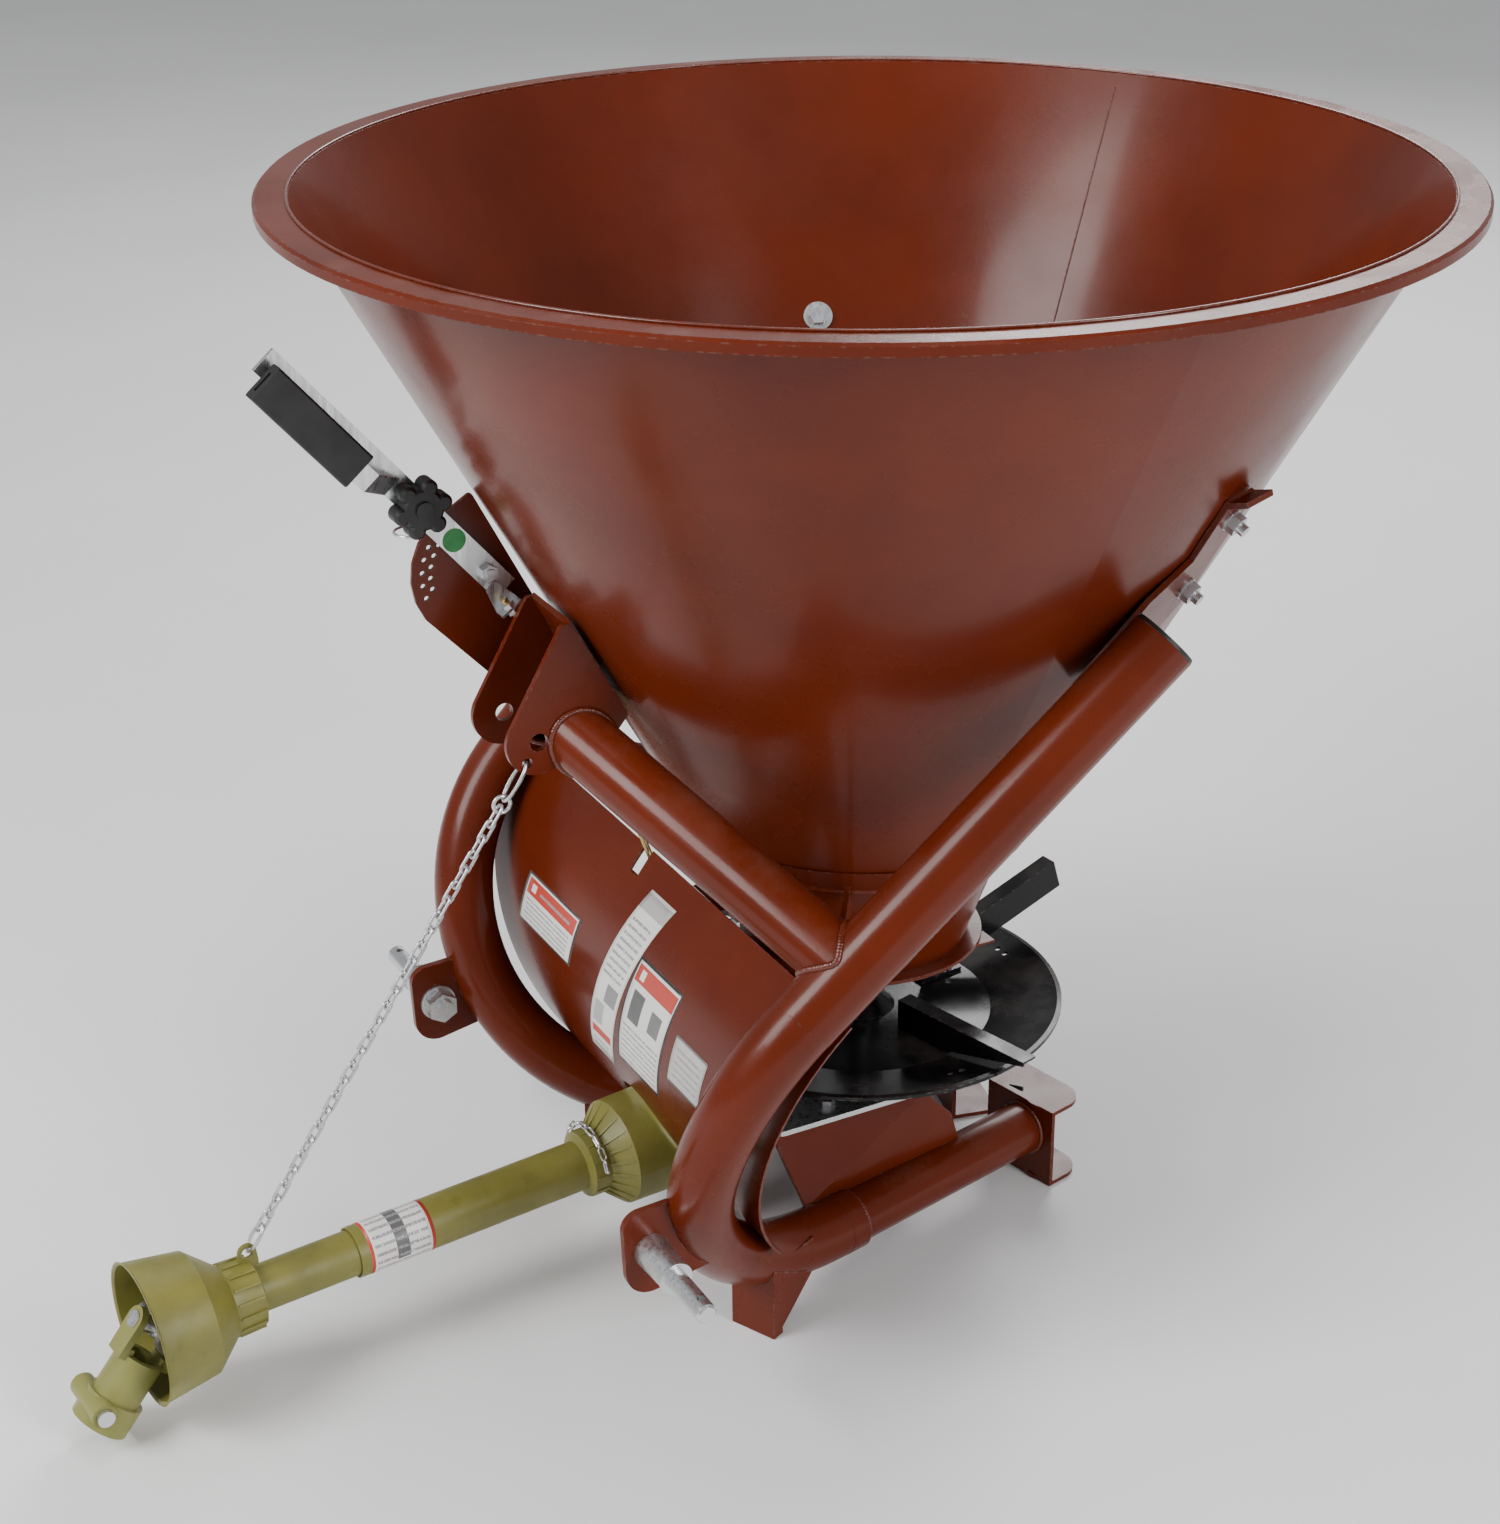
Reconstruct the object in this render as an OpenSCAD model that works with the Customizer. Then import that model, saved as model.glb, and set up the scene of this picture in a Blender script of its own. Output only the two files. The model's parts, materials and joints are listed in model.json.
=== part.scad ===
// Cone-hopper broadcast spreader for a tractor three-point linkage, driven by the power take-off.
// Millimetres. +Z is up, the tractor is on the -Y side and +X is the right-hand side seen from behind.
// The origin is on the ground under the middle of the outline. The pieces are written about the axis
// of the spinner, and placed() moves them back from there.

/* [Hopper] */
// Outer diameter of the hopper rim flange
rim_od = 1208; // [1100:2:1300]
// Height of the rim above the ground
rim_height = 1180; // [1120:5:1240]
// Half angle of the hopper cone
cone_half_angle = 28.7; // [27:0.1:31]
// Sheet thickness of the hopper
hopper_sheet = 2.5; // [2:0.5:4]
// Width of the flat rim flange
rim_flange = 32; // [20:1:40]

/* [Frame] */
// Outside diameter of the side frame and mast tubes
frame_tube_od = 69; // [60:1:76]
// Outside diameter of the skid tubes
skid_tube_od = 60.3; // [54:0.1:62]
// Centre line radius of the front bend of the side frame
bend_radius = 255; // [245:1:265]
// Outward lean of the side frame plane
splay = 21; // [19:0.5:23]
// Inward turn of the skids towards the rear
toe_in = 13; // [11:0.5:15]
// Slope of the upper leg inside the side frame plane
leg_slope = 46.6; // [44:0.2:49]
// Length of the straight upper leg
leg_length = 500; // [480:5:520]

/* [Three-point hitch] */
// Distance between the shoulders of the two lower hitch pins
lower_pin_spread = 683; // [660:1:690]
// Diameter of the lower hitch pins, category 1
lower_pin_d = 22; // [21:0.1:22.4]
// Height of the lower hitch pins above the ground
lower_pin_z = 203; // [190:1:215]
// Height of the top link bore above the lower pins
mast_height = 460; // [440:5:480]
// Bore of the top link bracket, category 1
top_link_bore = 19.3; // [19.3:0.1:22]

/* [Spinner] */
// Diameter of the spinner disc
disc_d = 458; // [430:2:480]
// Height of the disc rim above the ground
disc_rim_z = 244; // [240:1:248]
// Height of the level vanes
vane_h = 36; // [28:1:38]

/* [Driveline] */
// Sideways swing of the driveline as it hangs on its chain
shaft_yaw = 4.6; // [0:0.2:6]
// Downward slope of the driveline
shaft_pitch = 1.8; // [0.5:0.1:2.5]
// Distance between the two cross centres
cross_spacing = 560; // [540:5:580]
// Bend of the free tractor yoke
yoke_bend = 48; // [30:1:50]
// Bore of the tractor yoke, 1 3/8 inch splined shaft
pto_bore = 34.9; // [34.8:0.1:35.2]

/* [Rate control] */
// Length of the rate lever above its pivot
lever_length = 330; // [300:5:350]
// Forward lean of the rate lever from upright
lever_lean = 40.2; // [36:0.2:44]

/* [Hidden] */
$fn = 96;
spinner_y = 170;        // the spinner axis stands this far behind the origin
eps = 0.2;              // gap left where two pieces meet
weld_gap = 0.1;         // gap at welded faces

cone_tan = tan(cone_half_angle);
rim_r = rim_od / 2;
cone_top_r = rim_r - rim_flange;
apex_z = rim_height - cone_top_r / cone_tan;
shell_bottom_z = 470;
funnel_bottom_z = 330;
funnel_top_r = 166;
funnel_bottom_r = 118;
floor_t = 4;
floor_r = 136;

tube_r = frame_tube_od / 2;
tube_wall = 3.2;
cap_t = 4;              // rim of the caps in the leg ends
skid_r = skid_tube_od / 2;
bend_centre = [251, -105, 299];
skid_length = 300;
stub_length = 24;

pin_y = -407;
top_y = -401;
top_z = lower_pin_z + mast_height;
clevis_x = 46;          // outer faces of the top link bracket
plate_t = 6;

disc_r = disc_d / 2;
disc_t = 3;
dish_depth = 20;
dish_r = 150;
deck_z = 172;           // underside of the gearbox plate
deck_t = 6;
gear_z = 128;           // height of the input shaft
shaft_r = 15;
mesh_r = 32;            // pitch radius of the mitre gears
gear_teeth = 16;

rear_cross = [0, -290, gear_z];
guard_r = 28;
inner_guard_r = 25;

lever_x = -66;          // middle of the rate lever bar
pivot = [lever_x, -402, 809];
link_arm = 20;          // lever and crank work the rod in parallel
link_angle = -75;
lever_swing = 45;
rod_x = -53;
rod_r = 3.5;
crank_x = -61.5;        // middle of the crank plate
crank_pivot = [crank_x, -205.2, 373.3];
gate_arm = 40.5;
gate_travel = 2 * gate_arm * sin(lever_swing / 2);

paint = [0.46, 0.19, 0.12];
zinc = [0.75, 0.76, 0.77];
black = [0.09, 0.09, 0.09];
olive = [0.50, 0.49, 0.22];
steel = [0.45, 0.45, 0.46];

// ---------- shared shapes ----------

function cone_r(z) = (z - apex_z) * cone_tan;

module ring(outer, inner, h) {
    linear_extrude(h) difference() {
        circle(outer);
        circle(inner);
    }
}

module hex_prism(across, h) {
    linear_extrude(h) circle(d = across / cos(30), $fn = 6);
}

// A hexagon bolt, the head below z = 0 and the shank up from it.
module hex_bolt(d, length) {
    translate([0, 0, -0.62 * d]) hex_prism(1.6 * d, 0.62 * d);
    cylinder(d = d, h = length);
}

module hex_nut(d) {
    difference() {
        hex_prism(1.6 * d, 0.8 * d);
        translate([0, 0, -1]) cylinder(d = d + eps, h = d + 2);
    }
}

module washer(d, outer, t) {
    ring(outer / 2, d / 2 + eps, t);
}

// A plate in the YZ plane, from x = 0 to x = t.
module side_plate(t) {
    rotate([90, 0, 90]) linear_extrude(t) children();
}

module both_sides() {
    children();
    mirror([1, 0, 0]) children();
}

// A straight bar between two points, the children drawn along z.
module along(a, b) {
    v = b - a;
    translate(a) rotate([0, acos(v[2] / norm(v)), atan2(v[1], v[0])]) children();
}

module rod(a, b, r) {
    along(a, b) cylinder(r = r, h = norm(b - a));
}

// ---------- hopper ----------

module hopper_shell() {
    lip = 12;
    bottom_r = cone_r(shell_bottom_z);
    wall = hopper_sheet / cos(cone_half_angle);
    color(paint) difference() {
        rotate_extrude($fn = 180) polygon([
            [bottom_r - wall, shell_bottom_z],
            [bottom_r, shell_bottom_z],
            [cone_r(rim_height - hopper_sheet), rim_height - hopper_sheet],
            [rim_r - hopper_sheet, rim_height - hopper_sheet],
            [rim_r - hopper_sheet, rim_height - lip],
            [rim_r, rim_height - lip],
            [rim_r, rim_height - 3],
            [rim_r - 3, rim_height],
            [cone_top_r - wall, rim_height]
        ]);
        strap_holes();
    }
}

module outlet_funnel() {
    band_h = 26;
    band_r = cone_r(shell_bottom_z) + 2.4;
    flange_t = 4;
    color(paint) union() {
        rotate_extrude($fn = 120) polygon([
            [funnel_bottom_r - hopper_sheet, funnel_bottom_z + weld_gap],
            [funnel_bottom_r, funnel_bottom_z + weld_gap],
            [funnel_top_r, shell_bottom_z - flange_t - weld_gap],
            [band_r, shell_bottom_z - flange_t - weld_gap],
            [band_r, shell_bottom_z - weld_gap],
            [funnel_top_r - hopper_sheet, shell_bottom_z - weld_gap]
        ]);
        rotate_extrude($fn = 120) polygon([
            [band_r - 2, shell_bottom_z - weld_gap - 1],
            [band_r, shell_bottom_z - weld_gap - 1],
            [band_r + band_h * cone_tan, shell_bottom_z + band_h],
            [band_r + band_h * cone_tan - 2, shell_bottom_z + band_h]
        ]);
    }
}

port_w = 26;            // width of one outlet port
port_l = 96;            // length of one outlet port
port_pitch = 62;
gate_t = 3;
gate_z = funnel_bottom_z - floor_t - gate_t - 0.5;
gate_w = 150;

module ports(shift) {
    for (row = [-1, 0, 1])
        translate([0, row * port_pitch + shift]) square([port_l, port_w], center = true);
}

module hopper_floor() {
    hub_r = 24;
    color(paint) translate([0, 0, funnel_bottom_z - floor_t]) linear_extrude(floor_t) difference() {
        circle(floor_r);
        difference() {
            ports(0);
            circle(hub_r + 4);
        }
        circle(hub_r - 5);
        for (side = [-1, 1], row = [-1, 0, 1])
            translate([side * 88, row * 60]) circle(d = 6.6);
    }
}

// The gate is closed at rest and opens as it slides to the rear.
module gate_slide() {
    tongue_end = crank_pivot[1] - 30;
    slot_y = crank_pivot[1] - gate_travel / 2;
    slot_z = crank_pivot[2] - gate_arm;
    ear_x = -57.5;
    ear_t = 3;
    color(zinc) {
        translate([0, 0, gate_z]) linear_extrude(gate_t) difference() {
            union() {
                translate([-gate_w / 2, -118]) square([gate_w, 210]);
                translate([ear_x - 10, tongue_end]) square([10 + ear_t, 130]);
            }
            ports(-gate_travel);
            hull() for (y = [0, -gate_travel]) translate([0, y]) circle(20);
        }
        translate([ear_x, 0, 0]) side_plate(ear_t) difference() {
            translate([slot_y - 11, gate_z + gate_t - 0.1]) square([22, slot_z + 9 - gate_z - gate_t]);
            translate([slot_y - 4.4, slot_z - 4.6]) square([8.8, 12.6]);
        }
    }
}

// Two folded rails that carry the gate under the floor.
module gate_guides() {
    color(paint) for (side = [-1, 1]) mirror([side < 0 ? 1 : 0, 0, 0])
        translate([gate_w / 2 + 1, 115, 0]) rotate([90, 0, 0]) linear_extrude(230) difference() {
            polygon([
                [0, funnel_bottom_z - floor_t - weld_gap], [24, funnel_bottom_z - floor_t - weld_gap],
                [24, funnel_bottom_z - floor_t - 3], [3, funnel_bottom_z - floor_t - 3],
                [3, gate_z - 4], [-12, gate_z - 4], [-12, gate_z - 1], [0, gate_z - 1]
            ]);
        }
}

module gate_guide_screws() {
    color(zinc) for (side = [-1, 1], row = [-1, 0, 1])
        translate([side * 88, row * 60, funnel_bottom_z + weld_gap]) rotate([180, 0, 0]) hex_bolt(6, 3.9);
}

// Plates from the leg and mast joint to the flange of the outlet funnel.
module base_bracket() {
    inner_r = cone_r(shell_bottom_z) - 14;
    plan_angle = -34;
    color(paint) rotate([0, 0, plan_angle]) difference() {
        translate([0, 3, 0]) rotate([90, 0, 0]) linear_extrude(plate_t) polygon([
            [inner_r, shell_bottom_z - 4 - 2 * weld_gap],
            [inner_r + 6, shell_bottom_z - 34],
            [400, shell_bottom_z - 20],
            [400, shell_bottom_z + 24],
            [inner_r + 52, shell_bottom_z + 24],
            [inner_r + 40, shell_bottom_z - 4 - 2 * weld_gap]
        ]);
        rotate([0, 0, -plan_angle]) {
            leg_clear();
            along(mast_top, mast_foot) cylinder(r = tube_r, h = norm(mast_foot - mast_top));
        }
    }
}

module base_brackets() { both_sides() base_bracket(); }

// ---------- straps that carry the hopper ----------

strap_angle = 22.9;
strap_bolt_z = [831, 911];
strap_t = 6;

// Local frame of a strap: x along the rim to the rear, y up the cone, z outward.
module strap_frame() {
    z0 = strap_bolt_z[0];
    rotate([0, 0, strap_angle]) translate([cone_r(z0), 0, z0]) rotate([0, 90 + cone_half_angle, 0])
        rotate([0, 0, 90]) children();
}

strap_rise = (strap_bolt_z[1] - strap_bolt_z[0]) / cos(cone_half_angle);

module strap_holes() {
    both_sides() strap_frame() for (y = [0, strap_rise])
        translate([0, y, -30]) cylinder(d = 13, h = 60);
}

module strap() {
    tip_fold = 24;
    color(paint) difference() {
        union() {
            strap_frame() translate([0, 0, weld_gap]) linear_extrude(strap_t) difference() {
                polygon([
                    [-24, strap_rise + 27], [24, strap_rise + 27], [26, -12], [-2, -62],
                    [-86, -112], [-124, -84], [-70, 8], [-24, 44]
                ]);
                for (y = [0, strap_rise]) translate([0, y]) circle(d = 13);
            }
            strap_frame() translate([-24, strap_rise + 24, weld_gap]) rotate([48, 0, 0])
                cube([48, tip_fold, strap_t]);
        }
        leg_clear();
    }
}

module hopper_straps() { both_sides() strap(); }

module strap_bolts() {
    color(zinc) both_sides() strap_frame() for (y = [0, strap_rise])
        translate([0, y, -hopper_sheet - 2.5]) hex_bolt(12, 31);
}

module strap_washers() {
    color(zinc) both_sides() strap_frame() for (y = [0, strap_rise]) translate([0, y, 0]) {
        translate([0, 0, -hopper_sheet - 2.4]) washer(12, 34, 1.8);
        translate([0, 0, strap_t + 0.2]) washer(12, 24, 2.4);
    }
}

module strap_nuts() {
    color(zinc) both_sides() strap_frame() for (y = [0, strap_rise])
        translate([0, y, strap_t + 2.8]) hex_nut(12);
}

// ---------- side frames ----------

// Local frame of a side frame: y along the skid, z up the tilted plane.
module side_plane() {
    translate(bend_centre) rotate([0, 0, toe_in]) rotate([0, splay, 0]) children();
}

module leg_axis() {
    a = 90 + leg_slope;
    side_plane() translate([0, bend_radius * cos(a), bend_radius * sin(a)])
        rotate([-(90 - leg_slope), 0, 0]) children();
}

// Outlines of the leg alone and of the whole bent tube, for trimming what is welded to them.
module leg_clear() {
    leg_axis() cylinder(r = tube_r + weld_gap, h = leg_length + cap_t + 1);
}

module frame_clear() {
    frame_run(tube_r + weld_gap, 0);
}

// Leg, bend and stub as one run; the bend is drawn slightly thinner than the straights.
module frame_run(r, overrun) {
    start = 90 + leg_slope;
    lap = 0.3;
    draw = 0.3;
    side_plane() rotate([90, 0, 90]) rotate([0, 0, start])
        rotate_extrude(angle = 270 - start) translate([bend_radius, 0]) circle(r - draw);
    leg_axis() translate([0, 0, -lap]) cylinder(r = r, h = leg_length + overrun + lap);
    side_plane() translate([0, stub_length + overrun, -bend_radius]) rotate([90, 0, 0])
        cylinder(r = r, h = stub_length + overrun + lap);
}

module side_frame() {
    color(paint) difference() {
        frame_run(tube_r, 0);
        frame_run(tube_r - tube_wall, 1);
    }
}

module side_frame_right() { side_frame(); }
module side_frame_left() { mirror([1, 0, 0]) side_frame(); }

// Smaller tube sleeved into the stub at the foot of the bend.
module skid_tube() {
    color(paint) side_plane() translate([0, 4, -bend_radius]) rotate([-90, 0, 0])
        ring(skid_r, skid_r - tube_wall, skid_length - 4);
}

module skid_tubes() { both_sides() skid_tube(); }

module leg_end_caps() {
    color(black) both_sides() leg_axis() translate([0, 0, leg_length + weld_gap]) {
        cylinder(r1 = tube_r, r2 = tube_r - 1.5, h = cap_t);
        translate([0, 0, -18]) ring(tube_r - tube_wall - eps, tube_r - tube_wall - 3, 18.1);
    }
}

// Axes of a foot: origin on the ground under the bend, y along the skid.
module foot_frame(run) {
    translate([bend_centre[0], bend_centre[1], 0]) rotate([0, 0, toe_in])
        translate([-bend_radius * sin(splay), run, 0]) children();
}

module front_foot() {
    foot_w = 56;
    foot_t = 6;
    foot_h = 92;
    color(paint) difference() {
        foot_frame(-142) translate([-8, 0, 0]) rotate([0, 0, 12]) {
            cube([foot_w, foot_t, foot_h]);
            translate([foot_w - foot_t, foot_t - 0.01, 0]) side_plate(foot_t)
                polygon([[0, 0], [0, foot_h], [66, foot_h], [66, 50]]);
            translate([0, foot_t - 0.01, 0]) cube([foot_w, 10, foot_t]);
        }
        frame_clear();
        side_plane() translate([0, 0, -bend_radius]) rotate([-90, 0, 0])
            cylinder(r = skid_r + weld_gap, h = skid_length);
    }
}

module front_feet() { both_sides() front_foot(); }

module rear_foot() {
    inner_x = -57;
    outer_x = 45;
    web_h = 100;
    flange_d = 58;
    corner = 30;
    foot_t = 5;
    skid_end = skid_length + 0.2;
    color(paint) foot_frame(skid_end) {
        translate([inner_x, 0, 0]) cube([outer_x - inner_x, foot_t, web_h]);
        for (z = [0, web_h - foot_t]) translate([0, 0, z]) linear_extrude(foot_t) union() {
            translate([inner_x, foot_t - 1]) square([outer_x - inner_x, flange_d - corner - foot_t + 1]);
            translate([inner_x, 0]) square([outer_x - inner_x - corner, flange_d]);
            translate([outer_x - corner, flange_d - corner]) circle(corner);
        }
    }
}

module rear_feet() { both_sides() rear_foot(); }

// ---------- mast and hitch ----------

mast_top = [clevis_x, -352, 652];
mast_foot = [362, -222, 507];

module mast_tube() {
    v = mast_foot - mast_top;
    start = mast_top - 40 * v / norm(v);
    run = norm(mast_foot - start);
    color(paint) difference() {
        along(start, mast_foot) cylinder(r = tube_r - 0.5, h = run);
        along(start, mast_foot) translate([0, 0, -1]) cylinder(r = tube_r - tube_wall, h = run + 2);
        leg_clear();
        translate([clevis_x + weld_gap - 200, -600, 400]) cube([200, 600, 500]);
    }
}

module mast_tube_right() { mast_tube(); }
module mast_tube_left() { mirror([1, 0, 0]) mast_tube(); }

// Outline of a cheek of the top link bracket in the YZ plane.
module cheek_outline() {
    nose_r = 35;
    hull() {
        translate([top_y, top_z]) circle(nose_r);
        translate([-366, top_z + 112]) circle(8);
        translate([-308, top_z + 10]) circle(6);
        translate([-330, top_z - 12]) circle(8);
    }
}

module top_link_bracket() {
    web_foot = [-302, top_z + 12];
    web_head = [-360, top_z + 122];
    color(paint) union() {
        for (side = [-1, 1]) translate([side > 0 ? clevis_x - plate_t : -clevis_x, 0, 0])
            side_plate(plate_t) difference() {
                cheek_outline();
                translate([top_y, top_z]) circle(d = top_link_bore);
                if (side > 0) translate([chain_top[1], chain_top[2]]) circle(5.5);
            }
        translate([-clevis_x + 1, 0, 0]) side_plate(2 * clevis_x - 2) polygon([
            web_foot, web_head, web_head + [-5, -3], web_foot + [-5, -3]
        ]);
    }
}

// Rolled sheet between the side frames, in front of the gearbox.
module front_shield() {
    shield_r = 262;
    shield_y = -40;
    shield_z = 285;
    sheet = 3;
    top_angle = 42;
    low_angle = 40;
    reach = 420;
    color(paint) difference() {
        intersection() {
            translate([-reach, shield_y, shield_z]) rotate([90, 0, 90])
                rotate([0, 0, 180 - top_angle]) linear_extrude(2 * reach) difference() {
                    intersection() {
                        circle(shield_r, $fn = 180);
                        polygon([
                            [0, 0],
                            for (k = [0 : 4]) 2 * shield_r * [cos(k * (top_angle + low_angle) / 4),
                                sin(k * (top_angle + low_angle) / 4)]
                        ]);
                    }
                    circle(shield_r - sheet, $fn = 180);
                }
            // the ends follow the tilted planes of the side frames
            intersection() {
                side_plane() translate([-1000, -1000, -600]) cube([1000 + tube_r, 2000, 1400]);
                mirror([1, 0, 0]) side_plane() translate([-1000, -1000, -600])
                    cube([1000 + tube_r, 2000, 1400]);
            }
        }
        both_sides() frame_clear();
        translate([0, -200, gear_z]) rotate([90, 0, 0]) cylinder(r = 70, h = 200);
        translate([-70, -400, 0]) cube([140, 260, gear_z]);
        // notch in the upper edge for the control rod
        translate([rod_x - 9, -400, 434]) cube([18, 200, 100]);
    }
}

lug_x = 277;
lug_t = 8;

module lug_outline() {
    difference() {
        hull() {
            translate([pin_y, lower_pin_z - 22]) circle(28);
            translate([pin_y - 10, lower_pin_z + 28]) circle(20);
            translate([-330, lower_pin_z + 40]) circle(12);
            translate([-330, lower_pin_z - 24]) circle(12);
        }
        translate([pin_y, lower_pin_z]) circle(d = 22.6);
    }
}

module hitch_lugs() {
    color(paint) difference() {
        both_sides() translate([lug_x, 0, 0]) side_plate(lug_t) lug_outline();
        both_sides() frame_clear();
    }
}

// A hitch pin: threaded end inside the lug, tapered shoulder and pin outside it.
module hitch_pin() {
    shoulder_x = lower_pin_spread / 2;
    pin_length = 66;
    color(zinc) translate([0, pin_y, lower_pin_z]) rotate([0, 90, 0]) difference() {
        union() {
            translate([0, 0, lug_x - 26]) cylinder(d = 22.4, h = 60);
            translate([0, 0, lug_x + lug_t + weld_gap])
                cylinder(r1 = 19, r2 = 16.5, h = shoulder_x - lug_x - lug_t - 4);
            translate([0, 0, shoulder_x - 4.2]) cylinder(r = 17.5, h = 4.2);
            translate([0, 0, shoulder_x - 1]) cylinder(d = lower_pin_d, h = pin_length - 1);
            translate([0, 0, shoulder_x + pin_length - 2])
                cylinder(d1 = lower_pin_d, d2 = lower_pin_d - 5, h = 3);
        }
        translate([-30, 0, shoulder_x + pin_length - 14]) rotate([0, 90, 0]) cylinder(d = 8, h = 60);
    }
}

module lower_hitch_pins() { both_sides() hitch_pin(); }

module hitch_pin_nuts() {
    color(zinc) both_sides() translate([lug_x - 20.2, pin_y, lower_pin_z]) rotate([0, 90, 0])
        difference() {
            union() {
                hex_prism(32, 16);
                translate([0, 0, 16.2]) cylinder(r = 21, h = 3.6);
                cylinder(r = 15, h = 18);
            }
            translate([0, 0, -1]) cylinder(d = 22.6, h = 40);
        }
}

// ---------- gearbox and its cradle ----------

deck_x = 125;
deck_front = -180;
deck_back = 96;

module cradle_side() {
    sheet = 5;
    top_z = deck_z - weld_gap;
    skid_top = 90;
    hull() {
        translate([deck_x - sheet, deck_front, top_z - sheet]) cube([sheet, 192, sheet]);
        translate([148, deck_front + 24, skid_top - 4]) cube([sheet, 1, 4]);
        translate([112, 62, skid_top - 4]) cube([sheet, 1, 4]);
        translate([deck_x - 10, 50, 128]) cube([sheet, 1, 1]);
    }
}

module gearbox_cradle() {
    sheet = 5;
    color(paint) difference() {
        union() {
            both_sides() cradle_side();
            translate([-deck_x, deck_front, deck_z - weld_gap - sheet]) cube([2 * deck_x, 192, sheet]);
        }
        both_sides() side_plane() translate([0, -30, -bend_radius]) rotate([-90, 0, 0])
            cylinder(r = skid_r + weld_gap, h = skid_length + 60);
        both_sides() frame_clear();
        translate([-72, deck_front + 30, deck_z - 20]) cube([144, 200, 40]);
        translate([0, 0, deck_z - 20]) linear_extrude(40) deck_bolt_places() circle(d = 10.6);
    }
}

module gearbox_plate() {
    corner = 14;
    color(zinc) translate([0, 0, deck_z]) linear_extrude(deck_t) difference() {
        hull() for (x = [-1, 1], y = [deck_front + corner, deck_back - corner])
            translate([x * (deck_x - corner + 3), y]) circle(corner);
        circle(46);
        deck_bolt_places() circle(d = 10.6);
        housing_bolt_places() circle(d = 10.6);
    }
}

module deck_bolt_places() {
    for (x = [-1, 1], y = [-166, -100, -30]) translate([x * 100, y]) children();
}

module housing_bolt_places() {
    for (x = [-1, 1], y = [-1, 1]) translate([x * 52, y * 52]) children();
}

housing_w = 128;
housing_floor = 70;

module gearbox_housing() {
    wall = 9;
    neck_r = 30;
    color([0.16, 0.16, 0.17]) difference() {
        union() {
            translate([0, 0, housing_floor]) linear_extrude(deck_z - housing_floor - weld_gap)
                offset(12) square([housing_w - 24, housing_w - 24], center = true);
            translate([0, 0, deck_z - 1]) cylinder(r = 44, h = 14);
            translate([0, -55, gear_z]) rotate([90, 0, 0]) cylinder(r = 42, h = 62);
            translate([0, -60, gear_z]) rotate([90, 0, 0]) cylinder(r1 = 43.5, r2 = 42.2, h = 20);
            for (x = [-40, 0, 40]) translate([x - 3, -50, housing_floor - 8]) cube([6, 100, 10]);
        }
        translate([0, 0, housing_floor + wall])
            linear_extrude(deck_z - housing_floor - 2 * wall) offset(6)
                square([housing_w - 2 * wall - 12, housing_w - 2 * wall - 12], center = true);
        translate([0, 0, deck_z - 20]) cylinder(r = neck_r + eps, h = 60);
        translate([0, 0, housing_floor + 2]) cylinder(r = 24, h = 20);
        translate([0, -30, gear_z]) rotate([90, 0, 0]) cylinder(r = neck_r + eps, h = 100);
        housing_bolt_places() translate([0, 0, deck_z - 30]) cylinder(d = 10.4, h = 40);
    }
}

module gearbox_bolts() {
    color(zinc) {
        deck_bolt_places() translate([0, 0, deck_z + deck_t + weld_gap]) rotate([180, 0, 0])
            hex_bolt(10, 10);
        housing_bolt_places() translate([0, 0, deck_z + deck_t + weld_gap]) rotate([180, 0, 0])
            hex_bolt(10, 30);
    }
}

module bearing(bore_r, outer_r, w) {
    race = 3;
    ring(outer_r, outer_r - race, w);
    ring(bore_r + race, bore_r + 0.05, w);
    for (k = [0 : 11]) rotate([0, 0, 30 * k])
        translate([(bore_r + outer_r) / 2, 0, w / 2])
            sphere(r = (outer_r - bore_r) / 2 - race - 0.05, $fn = 20);
}

module shaft_bearings() {
    color(steel) {
        translate([0, 0, deck_z - 7]) bearing(shaft_r, 30, 16);
        translate([0, -74, gear_z]) rotate([90, 0, 0]) bearing(shaft_r, 30, 16);
        translate([0, -98, gear_z]) rotate([90, 0, 0]) bearing(shaft_r, 30, 16);
        translate([0, 0, housing_floor + 2.5]) bearing(9, 23.8, 11);
    }
}

// Mitre gear, big end at z = 0, tapering to the shaft crossing.
module mitre_gear(phase) {
    face = 13;
    tip = 2.4;
    root = 3.4;
    pitch = 360 / gear_teeth;
    difference() {
        union() {
            linear_extrude(face, scale = (mesh_r - face) / mesh_r) union() {
                circle(mesh_r - root, $fn = 64);
                for (k = [0 : gear_teeth - 1]) rotate([0, 0, k * pitch + phase]) polygon([
                    [mesh_r - root - 1, -3.3], [mesh_r + tip, -1.1], [mesh_r + tip, 1.1],
                        [mesh_r - root - 1, 3.3]
                ]);
            }
            translate([0, 0, -12]) cylinder(r = 25, h = 12.1);
        }
        translate([0, 0, -20]) cylinder(r = shaft_r + 0.05, h = 60);
    }
}

module pinion() {
    color(steel) translate([0, -mesh_r, gear_z]) rotate([-90, 0, 0]) mitre_gear(90);
}

module crown_gear() {
    color(steel) translate([0, 0, gear_z - mesh_r]) mitre_gear(-90 + 180 / gear_teeth);
}

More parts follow.
